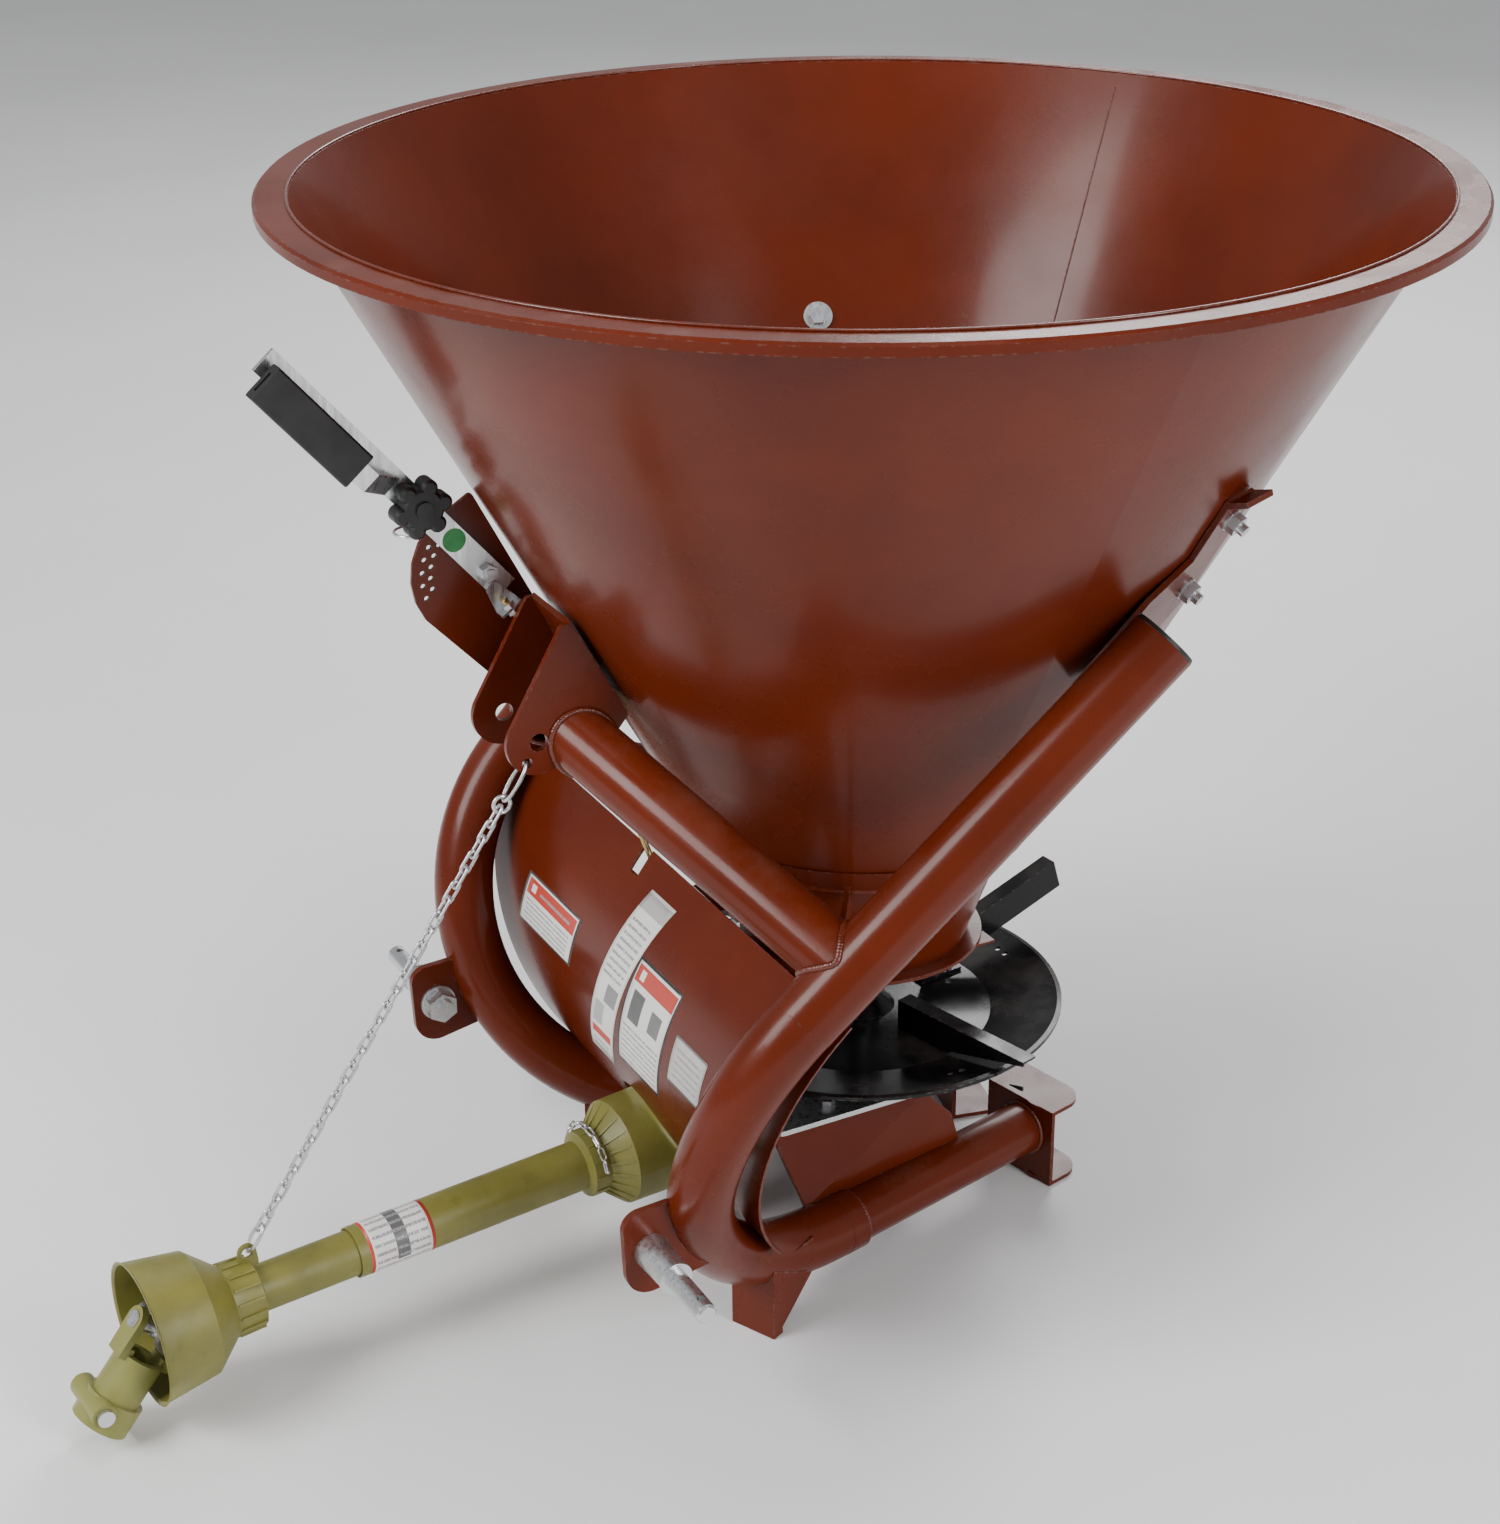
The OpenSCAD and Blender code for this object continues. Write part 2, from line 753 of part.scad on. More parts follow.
module input_yoke() {
    ear_t = 9;
    ear_gap = 32;
    // ears stand above and below the cross, their holes give the open joint its clearance
    difference() {
        union() {
            for (side = [-1, 1]) translate([0, 0, side * (ear_gap + ear_t / 2)])
                linear_extrude(ear_t, center = true) hull() {
                    circle(19);
                    translate([-19, 34]) square([38, 6]);
                }
            translate([0, 46, 0]) rotate([90, 0, 0]) cylinder(r = 27, h = 14);
            for (side = [-1, 1]) translate([-17, 30, side > 0 ? 14 : -40]) cube([34, 12, 26]);
        }
        cylinder(r = 15, h = 200, center = true);
        translate([0, 100, 0]) rotate([90, 0, 0]) cylinder(r = shaft_r + 0.05, h = 60.1);
    }
}

module input_shaft() {
    color(steel) {
        translate([0, -20, gear_z]) rotate([90, 0, 0]) cylinder(r = shaft_r, h = 236);
        translate(rear_cross) input_yoke();
    }
}

// ---------- spinner ----------

spin_top = 352;
hub_z = disc_rim_z - dish_depth;

module output_shaft() {
    color(steel) {
        translate([0, 0, housing_floor + 3]) cylinder(r = 9, h = 14);
        translate([0, 0, housing_floor + 16]) cylinder(r = shaft_r, h = spin_top - housing_floor - 16);
    }
}

module spinner_hub() {
    neck_r = 24;
    color(black) difference() {
        union() {
            translate([0, 0, hub_z - 28]) cylinder(r = neck_r, h = 28 + disc_t + 30);
            translate([0, 0, hub_z - 8]) cylinder(r = 62, h = 8 - weld_gap);
            translate([0, 0, hub_z + disc_t + weld_gap]) cylinder(r1 = 40, r2 = neck_r, h = 16);
        }
        translate([0, 0, hub_z - 40]) cylinder(r = shaft_r + 0.05, h = 100);
    }
}

module spinner_disc() {
    lip = 5;
    color(black) difference() {
        rotate_extrude($fn = 144) polygon([
            [25, hub_z], [dish_r, hub_z], [disc_r - lip, disc_rim_z - disc_t],
            [disc_r, disc_rim_z - disc_t - 2], [disc_r, disc_rim_z - 1], [disc_r - lip, disc_rim_z],
            [dish_r - 1, hub_z + disc_t], [25, hub_z + disc_t]
        ]);
        // spare holes that let a vane be set at another angle
        for (q = [0 : 3]) rotate([0, 0, q * 90 + 2]) for (side = [-1, 1])
            translate([196, side * 7, 0]) cylinder(d = 7, h = 400);
        vane_bolt_places() translate([0, 0, -60]) cylinder(d = 8.6, h = 120);
    }
}

vane_start = 70;
vane_length = 186;
vane_flange = 20;
vane_angle = [15, 97, 195, 277];
vane_tilt = [0, 17, 0, 17];
tilted_start = 84;
tilted_length = 215;

// A folded channel vane lying along x, its open side to +y.
module vane(tilt) {
    t = 2.5;
    run = tilt > 0 ? tilted_length : vane_length;
    rotate([0, -tilt, 0]) {
        cube([run, t, vane_h]);
        translate([0, 0, vane_h - t]) cube([run, vane_flange, t]);
        cube([run * (tilt > 0 ? 1 : 0.86), vane_flange, t]);
    }
}

module at_vane(k) {
    lift = vane_tilt[k] > 0 ? 2.4 : 0.4;
    start = vane_tilt[k] > 0 ? tilted_start : vane_start;
    rotate([0, 0, vane_angle[k]]) translate([start, -vane_flange / 2, hub_z + disc_t + lift]) children();
}

module spinner_vanes() {
    seat_l = 58;
    color(black) difference() {
        for (k = [0 : 3]) at_vane(k) {
            vane(vane_tilt[k]);
            if (vane_tilt[k] > 0) translate([-1, 0, -2]) cube([seat_l, vane_flange + 1, 4]);
        }
        vane_bolt_places() cylinder(d = 8.6, h = 60, center = true);
        // a level vane is trimmed to ride above the rising dish
        for (k = [0, 2]) rotate([0, 0, vane_angle[k]]) translate([dish_r - 6, -40, hub_z - 20])
            rotate([0, -atan(dish_depth / (disc_r - dish_r)), 0]) cube([160, 80, 25]);
    }
}

module vane_bolt_places() {
    for (k = [0 : 3]) at_vane(k) for (x = [14, 46]) translate([x, vane_flange / 2, 0]) children();
}

module vane_bolts() {
    color(zinc) vane_bolt_places() translate([0, 0, -disc_t - 3]) {
        translate([0, 0, -0.6]) hex_bolt(8, 14);
    }
}

module agitator() {
    finger_r = 5;
    collar_top = 372;
    color(zinc) difference() {
        union() {
            translate([0, 0, funnel_bottom_z + 8]) cylinder(r = 19, h = collar_top - funnel_bottom_z - 8);
            translate([0, 0, collar_top - 0.1]) cylinder(r1 = 19, r2 = 8, h = 12);
            for (a = [0, 180]) rotate([0, 0, a + 40]) {
                rod([14, 0, 354], [86, 0, 354], finger_r);
                translate([86, 0, 354]) sphere(finger_r + 0.8, $fn = 24);
                rod([86, 0, 354], [112, 0, 424], finger_r);
            }
        }
        translate([0, 0, funnel_bottom_z])
            cylinder(r = shaft_r + 0.05, h = spin_top - funnel_bottom_z + eps);
    }
}

// ---------- driveline ----------

// Local frame of the driveline: z along the shaft to the tractor, y up.
module shaft_frame() {
    translate(rear_cross) rotate([0, 0, shaft_yaw]) rotate([shaft_pitch, 0, 0]) rotate([90, 0, 0])
        children();
}

module guard_ribs(count, z0, z1, r0, r1, proud) {
    for (k = [0 : count - 1]) rotate([0, 0, k * 360 / count]) translate([0, 1.3, 0]) rotate([90, 0, 0])
        linear_extrude(2.6) polygon([[r0 - 2, z0], [r0 + proud, z0], [r1 + proud, z1], [r1 - 2, z1]]);
}

module rear_guard() {
    mouth = -26;
    shoulder = 26;
    neck = 48;
    tube_end = 345;
    color(olive) shaft_frame() union() {
        rotate_extrude($fn = 96) polygon([
            [58, mouth], [60.5, mouth], [59.5, shoulder], [37, neck], [37, neck + 20], [guard_r, neck + 24],
            [guard_r, tube_end], [guard_r - 1.8, tube_end], [guard_r - 1.8, neck + 16],
            [34, neck], [34, neck - 2], [57, shoulder - 1]
        ]);
        guard_ribs(20, shoulder + 2, neck + 1, 55, 36, 3);
        guard_ribs(12, neck + 2, neck + 18, 36, 36, 2);
    }
}

module front_guard() {
    tube_start = 190;
    neck = 452;
    shoulder = 488;
    mouth = cross_spacing + 20;
    color(olive) shaft_frame() difference() {
        union() {
            rotate_extrude($fn = 96) polygon([
                [inner_guard_r - 1.8, tube_start], [inner_guard_r, tube_start], [inner_guard_r, neck],
                [37, neck + 4], [39, shoulder], [66, shoulder + 30], [75, mouth - 2], [77, mouth],
                [74.5, mouth], [72.5, mouth - 2], [63.5, shoulder + 32], [36.5, shoulder + 3],
                    [34, neck + 8],
                [inner_guard_r - 1.8, neck + 4]
            ]);
            guard_ribs(16, neck + 5, shoulder - 2, 37, 38, 2.6);
            translate([0, 0, lug_z]) chain_lug();
        }
        translate([0, 0, 0]) cylinder(r = inner_guard_r - 1.8, h = 300);
    }
}

// The eye on the front guard collar that takes the safety chain.
module chain_lug() {
    collar_r = 36;
    eye_r = 6.2;
    reach = lug_r - collar_r;
    rotate([0, 0, 90]) translate([collar_r, 0, 0]) rotate([90, 0, 0]) translate([0, 0, -2])
        linear_extrude(4) difference() {
            hull() {
                translate([-4, -11]) square([6, 22]);
                translate([reach, 0]) circle(10);
            }
            translate([reach, 0]) circle(eye_r);
        }
}

module shaft_yoke(z, dir) {
    ear_t = 8;
    ear_x = 30;
    translate([0, 0, z]) scale([1, 1, dir]) difference() {
        union() {
            for (side = [-1, 1]) translate([side * (ear_x - ear_t / 2 + 2), 0, 0]) rotate([0, 90, 0])
                linear_extrude(ear_t, center = true) hull() {
                    circle(14);
                    translate([-43, -11]) square([4, 22]);
                }
            translate([0, 0, 38]) cylinder(r = 18, h = 11);
            for (side = [-1, 1]) translate([side > 0 ? 12 : -32, -11, 38]) cube([20, 22, 5]);
        }
        rotate([0, 90, 0]) cylinder(r = 9.1, h = 100, center = true);
    }
}

module rear_drive_shaft() {
    color(steel) shaft_frame() {
        shaft_yoke(0, 1);
        translate([0, 0, 47]) linear_extrude(290) difference() {
            square(32, center = true);
            square(27, center = true);
        }
    }
}

module front_drive_shaft() {
    color(steel) shaft_frame() {
        shaft_yoke(cross_spacing, -1);
        translate([0, 0, 170]) linear_extrude(cross_spacing - 170 - 47) difference() {
            square(26.4, center = true);
            square(20, center = true);
        }
    }
}

// Four-way cross, one pin pair along x, the other along y.
module cross_kit(free_reach) {
    cylinder(r = 8, h = 16, center = true);
    sphere(12, $fn = 32);
    rotate([0, 90, 0]) cylinder(r = 9, h = 67, center = true);
    rotate([90, 0, 0]) cylinder(r = 9, h = 2 * free_reach, center = true);
}

module rear_cross_kit() {
    color(zinc) translate(rear_cross) rotate([0, 0, shaft_yaw]) rotate([90, 0, 0]) cross_kit(36);
}

module front_yoke_frame() {
    shaft_frame() translate([0, 0, cross_spacing]) rotate([yoke_bend, 0, 0]) children();
}

module front_cross_kit() {
    color(zinc) front_yoke_frame() cross_kit(33.5);
}

module tractor_yoke() {
    ear_t = 8;
    hub_start = 34;
    hub_end = 114;
    collar_start = 82;
    color(olive) front_yoke_frame() difference() {
        union() {
            for (side = [-1, 1]) translate([0, side * 28, 0]) rotate([90, 0, 0])
                linear_extrude(ear_t, center = true) hull() {
                    circle(14);
                    translate([-13, 32]) square([26, 5]);
                }
            translate([0, 0, hub_start]) cylinder(r = 26, h = hub_end - hub_start);
            translate([0, 0, collar_start]) cylinder(r = 31, h = hub_end - collar_start);
            for (side = [-1, 1]) translate([-13, side > 0 ? 18 : -32, 27]) cube([26, 14, 12]);
            translate([0, 20, 94]) rotate([0, 90, 0]) cylinder(r = 13, h = 64, center = true);
        }
        translate([0, 0, hub_start - 20]) cylinder(d = pto_bore, h = 120);
        rotate([90, 0, 0]) cylinder(r = 9.1, h = 100, center = true);
        translate([0, 20, 94]) rotate([0, 90, 0]) cylinder(r = 5.6, h = 100, center = true);
    }
}

// Waisted pin: its full diameter bites into the shaft groove when it slides out.
module yoke_release_pin() {
    waist = 11;
    color(zinc) front_yoke_frame() translate([0, 20, 94]) rotate([0, 90, 0]) {
        translate([0, 0, -36.2]) cylinder(r = 5.5, h = 36.2 - waist);
        translate([0, 0, -waist - 0.1]) cylinder(r = 2.4, h = 2 * waist + 0.2);
        translate([0, 0, waist]) cylinder(r = 5.5, h = 33 - waist);
        translate([0, 0, 32.4]) cylinder(r = 9, h = 5);
        translate([0, 0, -39.3]) cylinder(r = 7.5, h = 3.1);
    }
}

// ---------- chains ----------

wire_r = 1.7;

// One link lying in the xz plane, its length along z.
module chain_link(inside) {
    half_w = 4.6;
    run = inside / 2 - half_w + wire_r;
    for (side = [-1, 1]) {
        translate([side * half_w, 0, -run]) cylinder(r = wire_r, h = 2 * run, $fn = 14);
        translate([0, 0, side * run]) rotate([90, 0, 0]) rotate([0, 0, side > 0 ? 0 : 180])
            rotate_extrude(angle = 180, $fn = 28) translate([half_w, 0]) circle(wire_r, $fn = 14);
    }
}

link_inside = 22;
lug_z = 458;            // where the chain eye stands along the driveline
lug_r = 49;
cheek_mid = clevis_x - plate_t / 2;

// A point of the driveline plane in the frame of the whole machine.
function shaft_point(y, z) = rear_cross
    + z * [sin(shaft_yaw) * cos(shaft_pitch), -cos(shaft_yaw) * cos(shaft_pitch), -sin(shaft_pitch)]
    + y * [sin(shaft_yaw) * sin(shaft_pitch), -cos(shaft_yaw) * sin(shaft_pitch), cos(shaft_pitch)];

chain_low = shaft_point(lug_r, lug_z);
chain_aim = (chain_low - [cheek_mid, top_y, top_z]) / norm(chain_low - [cheek_mid, top_y, top_z]);
chain_top = [cheek_mid, top_y, top_z] + 24 * chain_aim;

module wire_loop(r, wire) {
    rotate_extrude($fn = 48) translate([r, 0]) circle(wire, $fn = 16);
}

// An oval hook in the plane of x and the chain, its far wire at z = 0, its length along z.
module oval_hook(half, width, wire) {
    translate([0, 0, half]) rotate([0, 90, 0]) scale([1, width / half, 1]) wire_loop(half, wire);
}

module safety_chain() {
    span = norm(chain_top - chain_low);
    low_hook = 16;
    top_hook = 22;
    ring_r = 9;
    wire = 2.2;
    low_play = 2.2;
    top_play = 0.6;
    first = low_play + 2 * low_hook - wire_r - wire - 0.3;
    ring_top = top_play + 2 * top_hook - wire - 2 - 0.3;
    last = span - ring_top - 2 * ring_r + 2 + wire_r + 0.3;
    count = round((last - first) / (link_inside - 2 * wire_r - 0.4));
    pitch = (last - first) / count;
    color(zinc) along(chain_low, chain_top) {
        translate([0, 0, low_play]) oval_hook(low_hook, 8.5, wire);
        for (k = [0 : count - 1]) translate([0, 0, first + (k + 0.5) * pitch])
            rotate([0, 0, (k % 2) * 90]) chain_link(pitch + 2 * wire_r + 0.4);
        translate([0, 0, span - ring_top - ring_r]) rotate([90, 0, 0]) wire_loop(ring_r, 2);
        translate([0, 0, span - top_play]) rotate([180, 0, 0]) oval_hook(top_hook, 8.5, wire);
    }
}

// Short chain that keeps the rear guard from turning, gathered on its collar.
module guard_tether() {
    color(zinc) shaft_frame() translate([0, 0, 58]) {
        for (k = [0 : 7]) rotate([0, 0, 20 + k * 19.5]) translate([44, 0, 0])
            rotate([90, 0, 0]) rotate([0, 0, (k % 2) * 90]) scale([0.62, 1, 0.62]) chain_link(19);
    }
}

// ---------- rate control ----------

// Lever frame: origin on the pivot, z up the lever, y to the rear, x to the right.
module lever_frame() {
    translate(pivot) rotate([lever_lean, 0, 0]) children();
}

bar_w = 28;
bar_t = 5;
quadrant_t = 4;
quadrant_x = lever_x - bar_t / 2 - 4.5 - quadrant_t;
knob_reach = 112;
joggle = 20;            // sideways offset of the grip bar
set_back = 12;          // its offset to the front

module rate_quadrant() {
    stop_r = 66;
    color(paint) union() {
        translate([quadrant_x, 0, 0]) side_plate(quadrant_t) difference() {
            hull() {
                for (a = [134 : 16 : 214]) translate([pivot[1], pivot[2]]) rotate(a)
                    translate([62, 0]) circle(16);
                translate([pivot[1] - 11, pivot[2] + 78]) circle(4);
                translate([pivot[1] + 56, pivot[2] - 54]) circle(4);
                translate([pivot[1] + 40, pivot[2] - 90]) circle(6);
                translate([pivot[1] + 6, pivot[2] - 112]) circle(6);
            }
            for (k = [0 : 10]) translate([pivot[1], pivot[2]]) rotate(138 + 6 * k)
                translate([k % 2 == 0 ? stop_r : stop_r - 9, 0]) circle(d = 5.5);
            translate([pivot[1], pivot[2]]) circle(d = 10.1);
        }
        // foot folded over to the bracket cheek
        translate([quadrant_x + quadrant_t - 0.1, pivot[1] + 6, pivot[2] - 118])
            cube([-clevis_x - quadrant_x - quadrant_t, 34, quadrant_t]);
    }
}

// Flat bar with the pivot near its foot and the rod link below the pivot.
module rate_lever() {
    foot = link_arm + 9;
    color(zinc) difference() {
        lever_frame() translate([-bar_t / 2, -bar_w / 2, -foot]) difference() {
            cube([bar_t, bar_w, lever_length + foot]);
            translate([-1, bar_w / 2, foot]) rotate([0, 90, 0]) cylinder(d = 10.1, h = 20);
            translate([-1, bar_w / 2, foot + knob_reach]) rotate([0, 90, 0]) cylinder(d = 8.2, h = 20);
        }
        translate(pivot + link_arm * [0, cos(link_angle), sin(link_angle)]) rotate([0, 90, 0])
            cylinder(d = 8.1, h = 30, center = true);
    }
}

// Joggled bar clamped on the lever by the knob; it carries the grip.
module lever_grip_bar() {
    w = bar_w - 6;
    color(zinc) lever_frame() translate([bar_t / 2 + 0.1, -w / 2 - 4, 0]) difference() {
        union() {
            translate([0, 0, knob_reach - 14]) cube([bar_t, w, 48]);
            hull() {
                translate([0, 0, knob_reach + 33]) cube([bar_t, w, 1]);
                translate([joggle, -set_back, knob_reach + 62]) cube([bar_t, w, 1]);
            }
            translate([joggle, -set_back, knob_reach + 62]) cube([bar_t, w, 148]);
        }
        translate([-1, w / 2 + 4, knob_reach]) rotate([0, 90, 0]) cylinder(d = 8.2, h = 20);
    }
}

module lever_grip() {
    color(black) lever_frame() translate([bar_t + 0.1 + joggle, -4 - set_back, knob_reach + 82])
        linear_extrude(132) difference() {
            offset(3) square([12, 34], center = true);
            square([bar_t + 0.2, bar_w - 5.8], center = true);
        }
}

// Six-lobed clamp knob with its threaded stud.
module clamp_knob() {
    lobe_r = 25;
    body_h = 17;
    bevel = 3;
    color(black) lever_frame() translate([0, 0, knob_reach]) rotate([0, 90, 0]) union() {
        translate([0, 0, bar_t * 1.5 + 0.3]) {
            cylinder(r = lobe_r - 3, h = body_h);
            translate([0, 0, body_h]) cylinder(r1 = lobe_r - 3, r2 = lobe_r - 6, h = bevel);
            for (k = [0 : 5]) rotate(60 * k) translate([lobe_r - 3, 0, 0]) {
                cylinder(r = 9, h = body_h);
                translate([0, 0, body_h]) cylinder(r1 = 9, r2 = 9 - bevel, h = bevel);
            }
            cylinder(r = 9, h = body_h + bevel + 3);
        }
        translate([0, 0, -bar_t / 2 - 6]) cylinder(r = 4, h = 2 * bar_t + 8);
    }
}

// Linch pin parked in the first stop hole, its ring hanging outside the plate.
module linch_pin() {
    stop_r = 66;
    color(zinc) translate([quadrant_x, pivot[1] + stop_r * cos(138), pivot[2] + stop_r * sin(138)])
        rotate([0, 90, 0]) {
            translate([0, 0, -18]) cylinder(r = 2.65, h = 24);
            translate([0, 0, -20]) sphere(4.4);
            translate([0, 0, -20]) rotate([0, 90, 0]) translate([0, -17, 0]) wire_loop(17, 1.4);
        }
}

module lever_pivot_bolt() {
    color(zinc) translate([quadrant_x - 0.1, pivot[1], pivot[2]]) rotate([0, 90, 0]) {
        hex_bolt(10, 24);
        translate([0, 0, quadrant_t + bar_t + 4.8]) hex_nut(10);
        translate([0, 0, quadrant_t + 0.2]) washer(10, 22, 4.2);
    }
}

rod_top = [rod_x, pivot[1] + link_arm * cos(link_angle), pivot[2] + link_arm * sin(link_angle)];
rod_waist = [rod_x, -310, 664];
rod_foot = [rod_x, crank_pivot[1] + link_arm * cos(link_angle),
    crank_pivot[2] + link_arm * sin(link_angle)];

// Rod frame: z down the upper run of the control rod, from the lever pin.
module rod_frame() {
    v = rod_waist - rod_top;
    translate(rod_top) rotate([atan2(-v[1], v[2]), 0, 0]) children();
}

seat = 22;              // from the lever pin to the seat of the rod

// Angle hung on the lever pin; the threaded rod end is nutted through its seat.
module rod_bracket() {
    leg_t = 3;
    leg_x = lever_x + bar_t / 2 + 0.2 - rod_x;
    color(zinc) rod_frame() difference() {
        union() {
            translate([leg_x, 0, 0]) rotate([90, 0, 90]) linear_extrude(leg_t) union() {
                circle(8);
                polygon([[-8, 0], [8, 0], [13, seat], [13, seat + leg_t], [-13, seat + leg_t],
                    [-13, seat]]);
            }
            translate([leg_x, -13, seat]) cube([16, 26, leg_t]);
            translate([leg_x - bar_t - 3, 0, 0]) rotate([0, 90, 0]) cylinder(r = 4, h = bar_t + 3 + leg_t);
        }
        translate([0, 0, seat - 5]) cylinder(r = rod_r + 0.1, h = 20);
    }
}

module rod_nuts() {
    color(zinc) rod_frame() for (z = [seat - 5.2, seat + 3.1]) translate([0, 0, z]) difference() {
        hex_prism(12, 5);
        translate([0, 0, -1]) cylinder(r = rod_r + 0.1, h = 8);
    }
}

module control_rod() {
    eye_r = 8;
    color([0.72, 0.62, 0.32]) difference() {
        union() {
            rod_frame() translate([0, 0, seat - 11])
                cylinder(r = rod_r, h = norm(rod_waist - rod_top) - seat + 11);
            translate(rod_waist) sphere(rod_r + 0.2, $fn = 24);
            rod(rod_waist, rod_foot, rod_r);
            translate(rod_foot) rotate([0, 90, 0]) cylinder(r = eye_r, h = 6, center = true);
        }
        translate(rod_foot) rotate([0, 90, 0]) cylinder(r = 4.05, h = 20, center = true);
    }
}

// Bell crank between the control rod and the gate, with its two drive pins.
module gate_crank() {
    t = 5;
    gate_angle = -90 - lever_swing / 2;
    color(zinc) translate(crank_pivot) rotate([0, 90, 0]) rotate([0, 0, 90]) difference() {
        union() {
            translate([0, 0, -t / 2]) linear_extrude(t) {
                circle(13);
                hull() {
                    circle(10);
                    rotate(link_angle) translate([link_arm, 0]) circle(8);
                }
                hull() {
                    circle(10);
                    rotate(gate_angle) translate([gate_arm, 0]) circle(7);
                }
            }
            rotate(link_angle) translate([link_arm, 0, 0]) cylinder(r = 4, h = rod_x - crank_x + 4);
            rotate(gate_angle) translate([gate_arm, 0, 0]) cylinder(r = 4, h = 8);
        }
        translate([0, 0, -t]) cylinder(r = 5.05, h = 2 * t);
    }
}

// Plate on the funnel that carries the pivot of the bell crank.
module crank_bracket() {
    plate_x = crank_x - 8.5;
    color(paint) union() {
        translate([plate_x, 0, 0]) side_plate(4) polygon([
            [-107, 352], [-127.5, 398], [-192, 388], [-216, 382], [-218, 370], [-208, 362], [-160, 352]
        ]);
        translate([plate_x, crank_pivot[1], crank_pivot[2]]) rotate([0, 90, 0]) cylinder(r = 5, h = 11.5);
    }
}

// ---------- drawing ----------

module placed() {
    translate([0, spinner_y, 0]) children();
}

placed() hopper_shell();
placed() outlet_funnel();
placed() hopper_floor();
placed() gate_slide();
placed() gate_guides();
placed() gate_guide_screws();
placed() base_brackets();
placed() hopper_straps();
placed() strap_bolts();
placed() strap_nuts();
placed() strap_washers();
placed() side_frame_left();
placed() side_frame_right();
placed() skid_tubes();
placed() leg_end_caps();
placed() front_feet();
placed() rear_feet();
placed() mast_tube_left();
placed() mast_tube_right();
placed() top_link_bracket();
placed() front_shield();
placed() hitch_lugs();
placed() lower_hitch_pins();
placed() hitch_pin_nuts();
placed() gearbox_cradle();
placed() gearbox_plate();
placed() gearbox_housing();
placed() gearbox_bolts();
placed() shaft_bearings();
placed() output_shaft();
placed() crown_gear();
placed() spinner_hub();
placed() spinner_disc();
placed() spinner_vanes();
placed() vane_bolts();
placed() agitator();
placed() input_shaft();
placed() pinion();
placed() rear_guard();
placed() rear_drive_shaft();
placed() rear_cross_kit();
placed() guard_tether();
placed() front_guard();
placed() front_drive_shaft();
placed() front_cross_kit();
placed() tractor_yoke();
placed() yoke_release_pin();
placed() safety_chain();
placed() rate_quadrant();
placed() lever_pivot_bolt();
placed() linch_pin();
placed() rate_lever();
placed() clamp_knob();
placed() lever_grip_bar();
placed() lever_grip();
placed() rod_bracket();
placed() control_rod();
placed() gate_crank();
placed() crank_bracket();
placed() rod_nuts();
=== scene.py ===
"""Looks of the cone-hopper broadcast spreader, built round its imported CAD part."""

import json
import math
import random

import bmesh
import bpy
from mathutils import Matrix, Vector

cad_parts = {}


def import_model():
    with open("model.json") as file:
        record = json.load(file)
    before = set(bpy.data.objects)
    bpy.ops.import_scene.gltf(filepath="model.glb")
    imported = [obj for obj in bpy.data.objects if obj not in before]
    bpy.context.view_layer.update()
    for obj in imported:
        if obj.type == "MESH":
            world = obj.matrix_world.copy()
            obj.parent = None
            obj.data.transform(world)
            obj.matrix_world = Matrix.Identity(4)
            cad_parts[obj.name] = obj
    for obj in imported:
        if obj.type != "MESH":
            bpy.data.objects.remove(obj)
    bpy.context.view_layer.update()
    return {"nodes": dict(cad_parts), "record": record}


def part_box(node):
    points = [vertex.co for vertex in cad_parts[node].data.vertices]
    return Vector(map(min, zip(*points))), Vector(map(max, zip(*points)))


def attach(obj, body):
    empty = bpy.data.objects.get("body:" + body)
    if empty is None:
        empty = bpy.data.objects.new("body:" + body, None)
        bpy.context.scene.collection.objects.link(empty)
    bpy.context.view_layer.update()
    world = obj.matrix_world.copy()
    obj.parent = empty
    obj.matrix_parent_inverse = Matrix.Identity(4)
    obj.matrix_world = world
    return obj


MM = 0.001

# Sizes shared with the CAD, in millimetres and degrees. Points are given from the spinner axis.
SPINNER_AXIS = Vector((0.0, 170.0, 0.0))
CONE_TAN = math.tan(math.radians(28.7))
RIM_Z = 1180.0
CONE_TOP_R = 572.0
SHEET = 2.5
TUBE_R = 34.5
SKID_R = 30.15
BEND_CENTRE = Vector((251.0, -105.0, 299.0))
BEND_RADIUS = 255.0
SPLAY = 21.0
TOE_IN = 13.0
LEG_SLOPE = 46.6
MAST_TOP = Vector((46.0, -352.0, 652.0))
MAST_FOOT = Vector((362.0, -222.0, 507.0))
SHIELD_Y, SHIELD_Z, SHIELD_R = -40.0, 285.0, 262.0
REAR_CROSS = Vector((0.0, -290.0, 128.0))
SHAFT_YAW = 4.6
SHAFT_PITCH = 1.8
STUB_LENGTH = 24.0
SKID_WELD_Y = 298.5
CHEEK_X = 47.0
SEAM_ANGLE = 119.0
SEAM_LOW, SEAM_HIGH = 500.0, 1166.0
LEVER_PIVOT_Y, LEVER_PIVOT_Z, LEVER_LEAN = -402.0, 809.0, 40.2
STICKER_ALONG, STICKER_R = 52.0, 12.5
GUARD_TUBE_R = 28.0
GUARD_LABEL_START, GUARD_LABEL_LENGTH = 334.0, 74.0
LABEL_TOP, LABEL_BOTTOM = 0.35, 0.12


# ---------- node helpers ----------

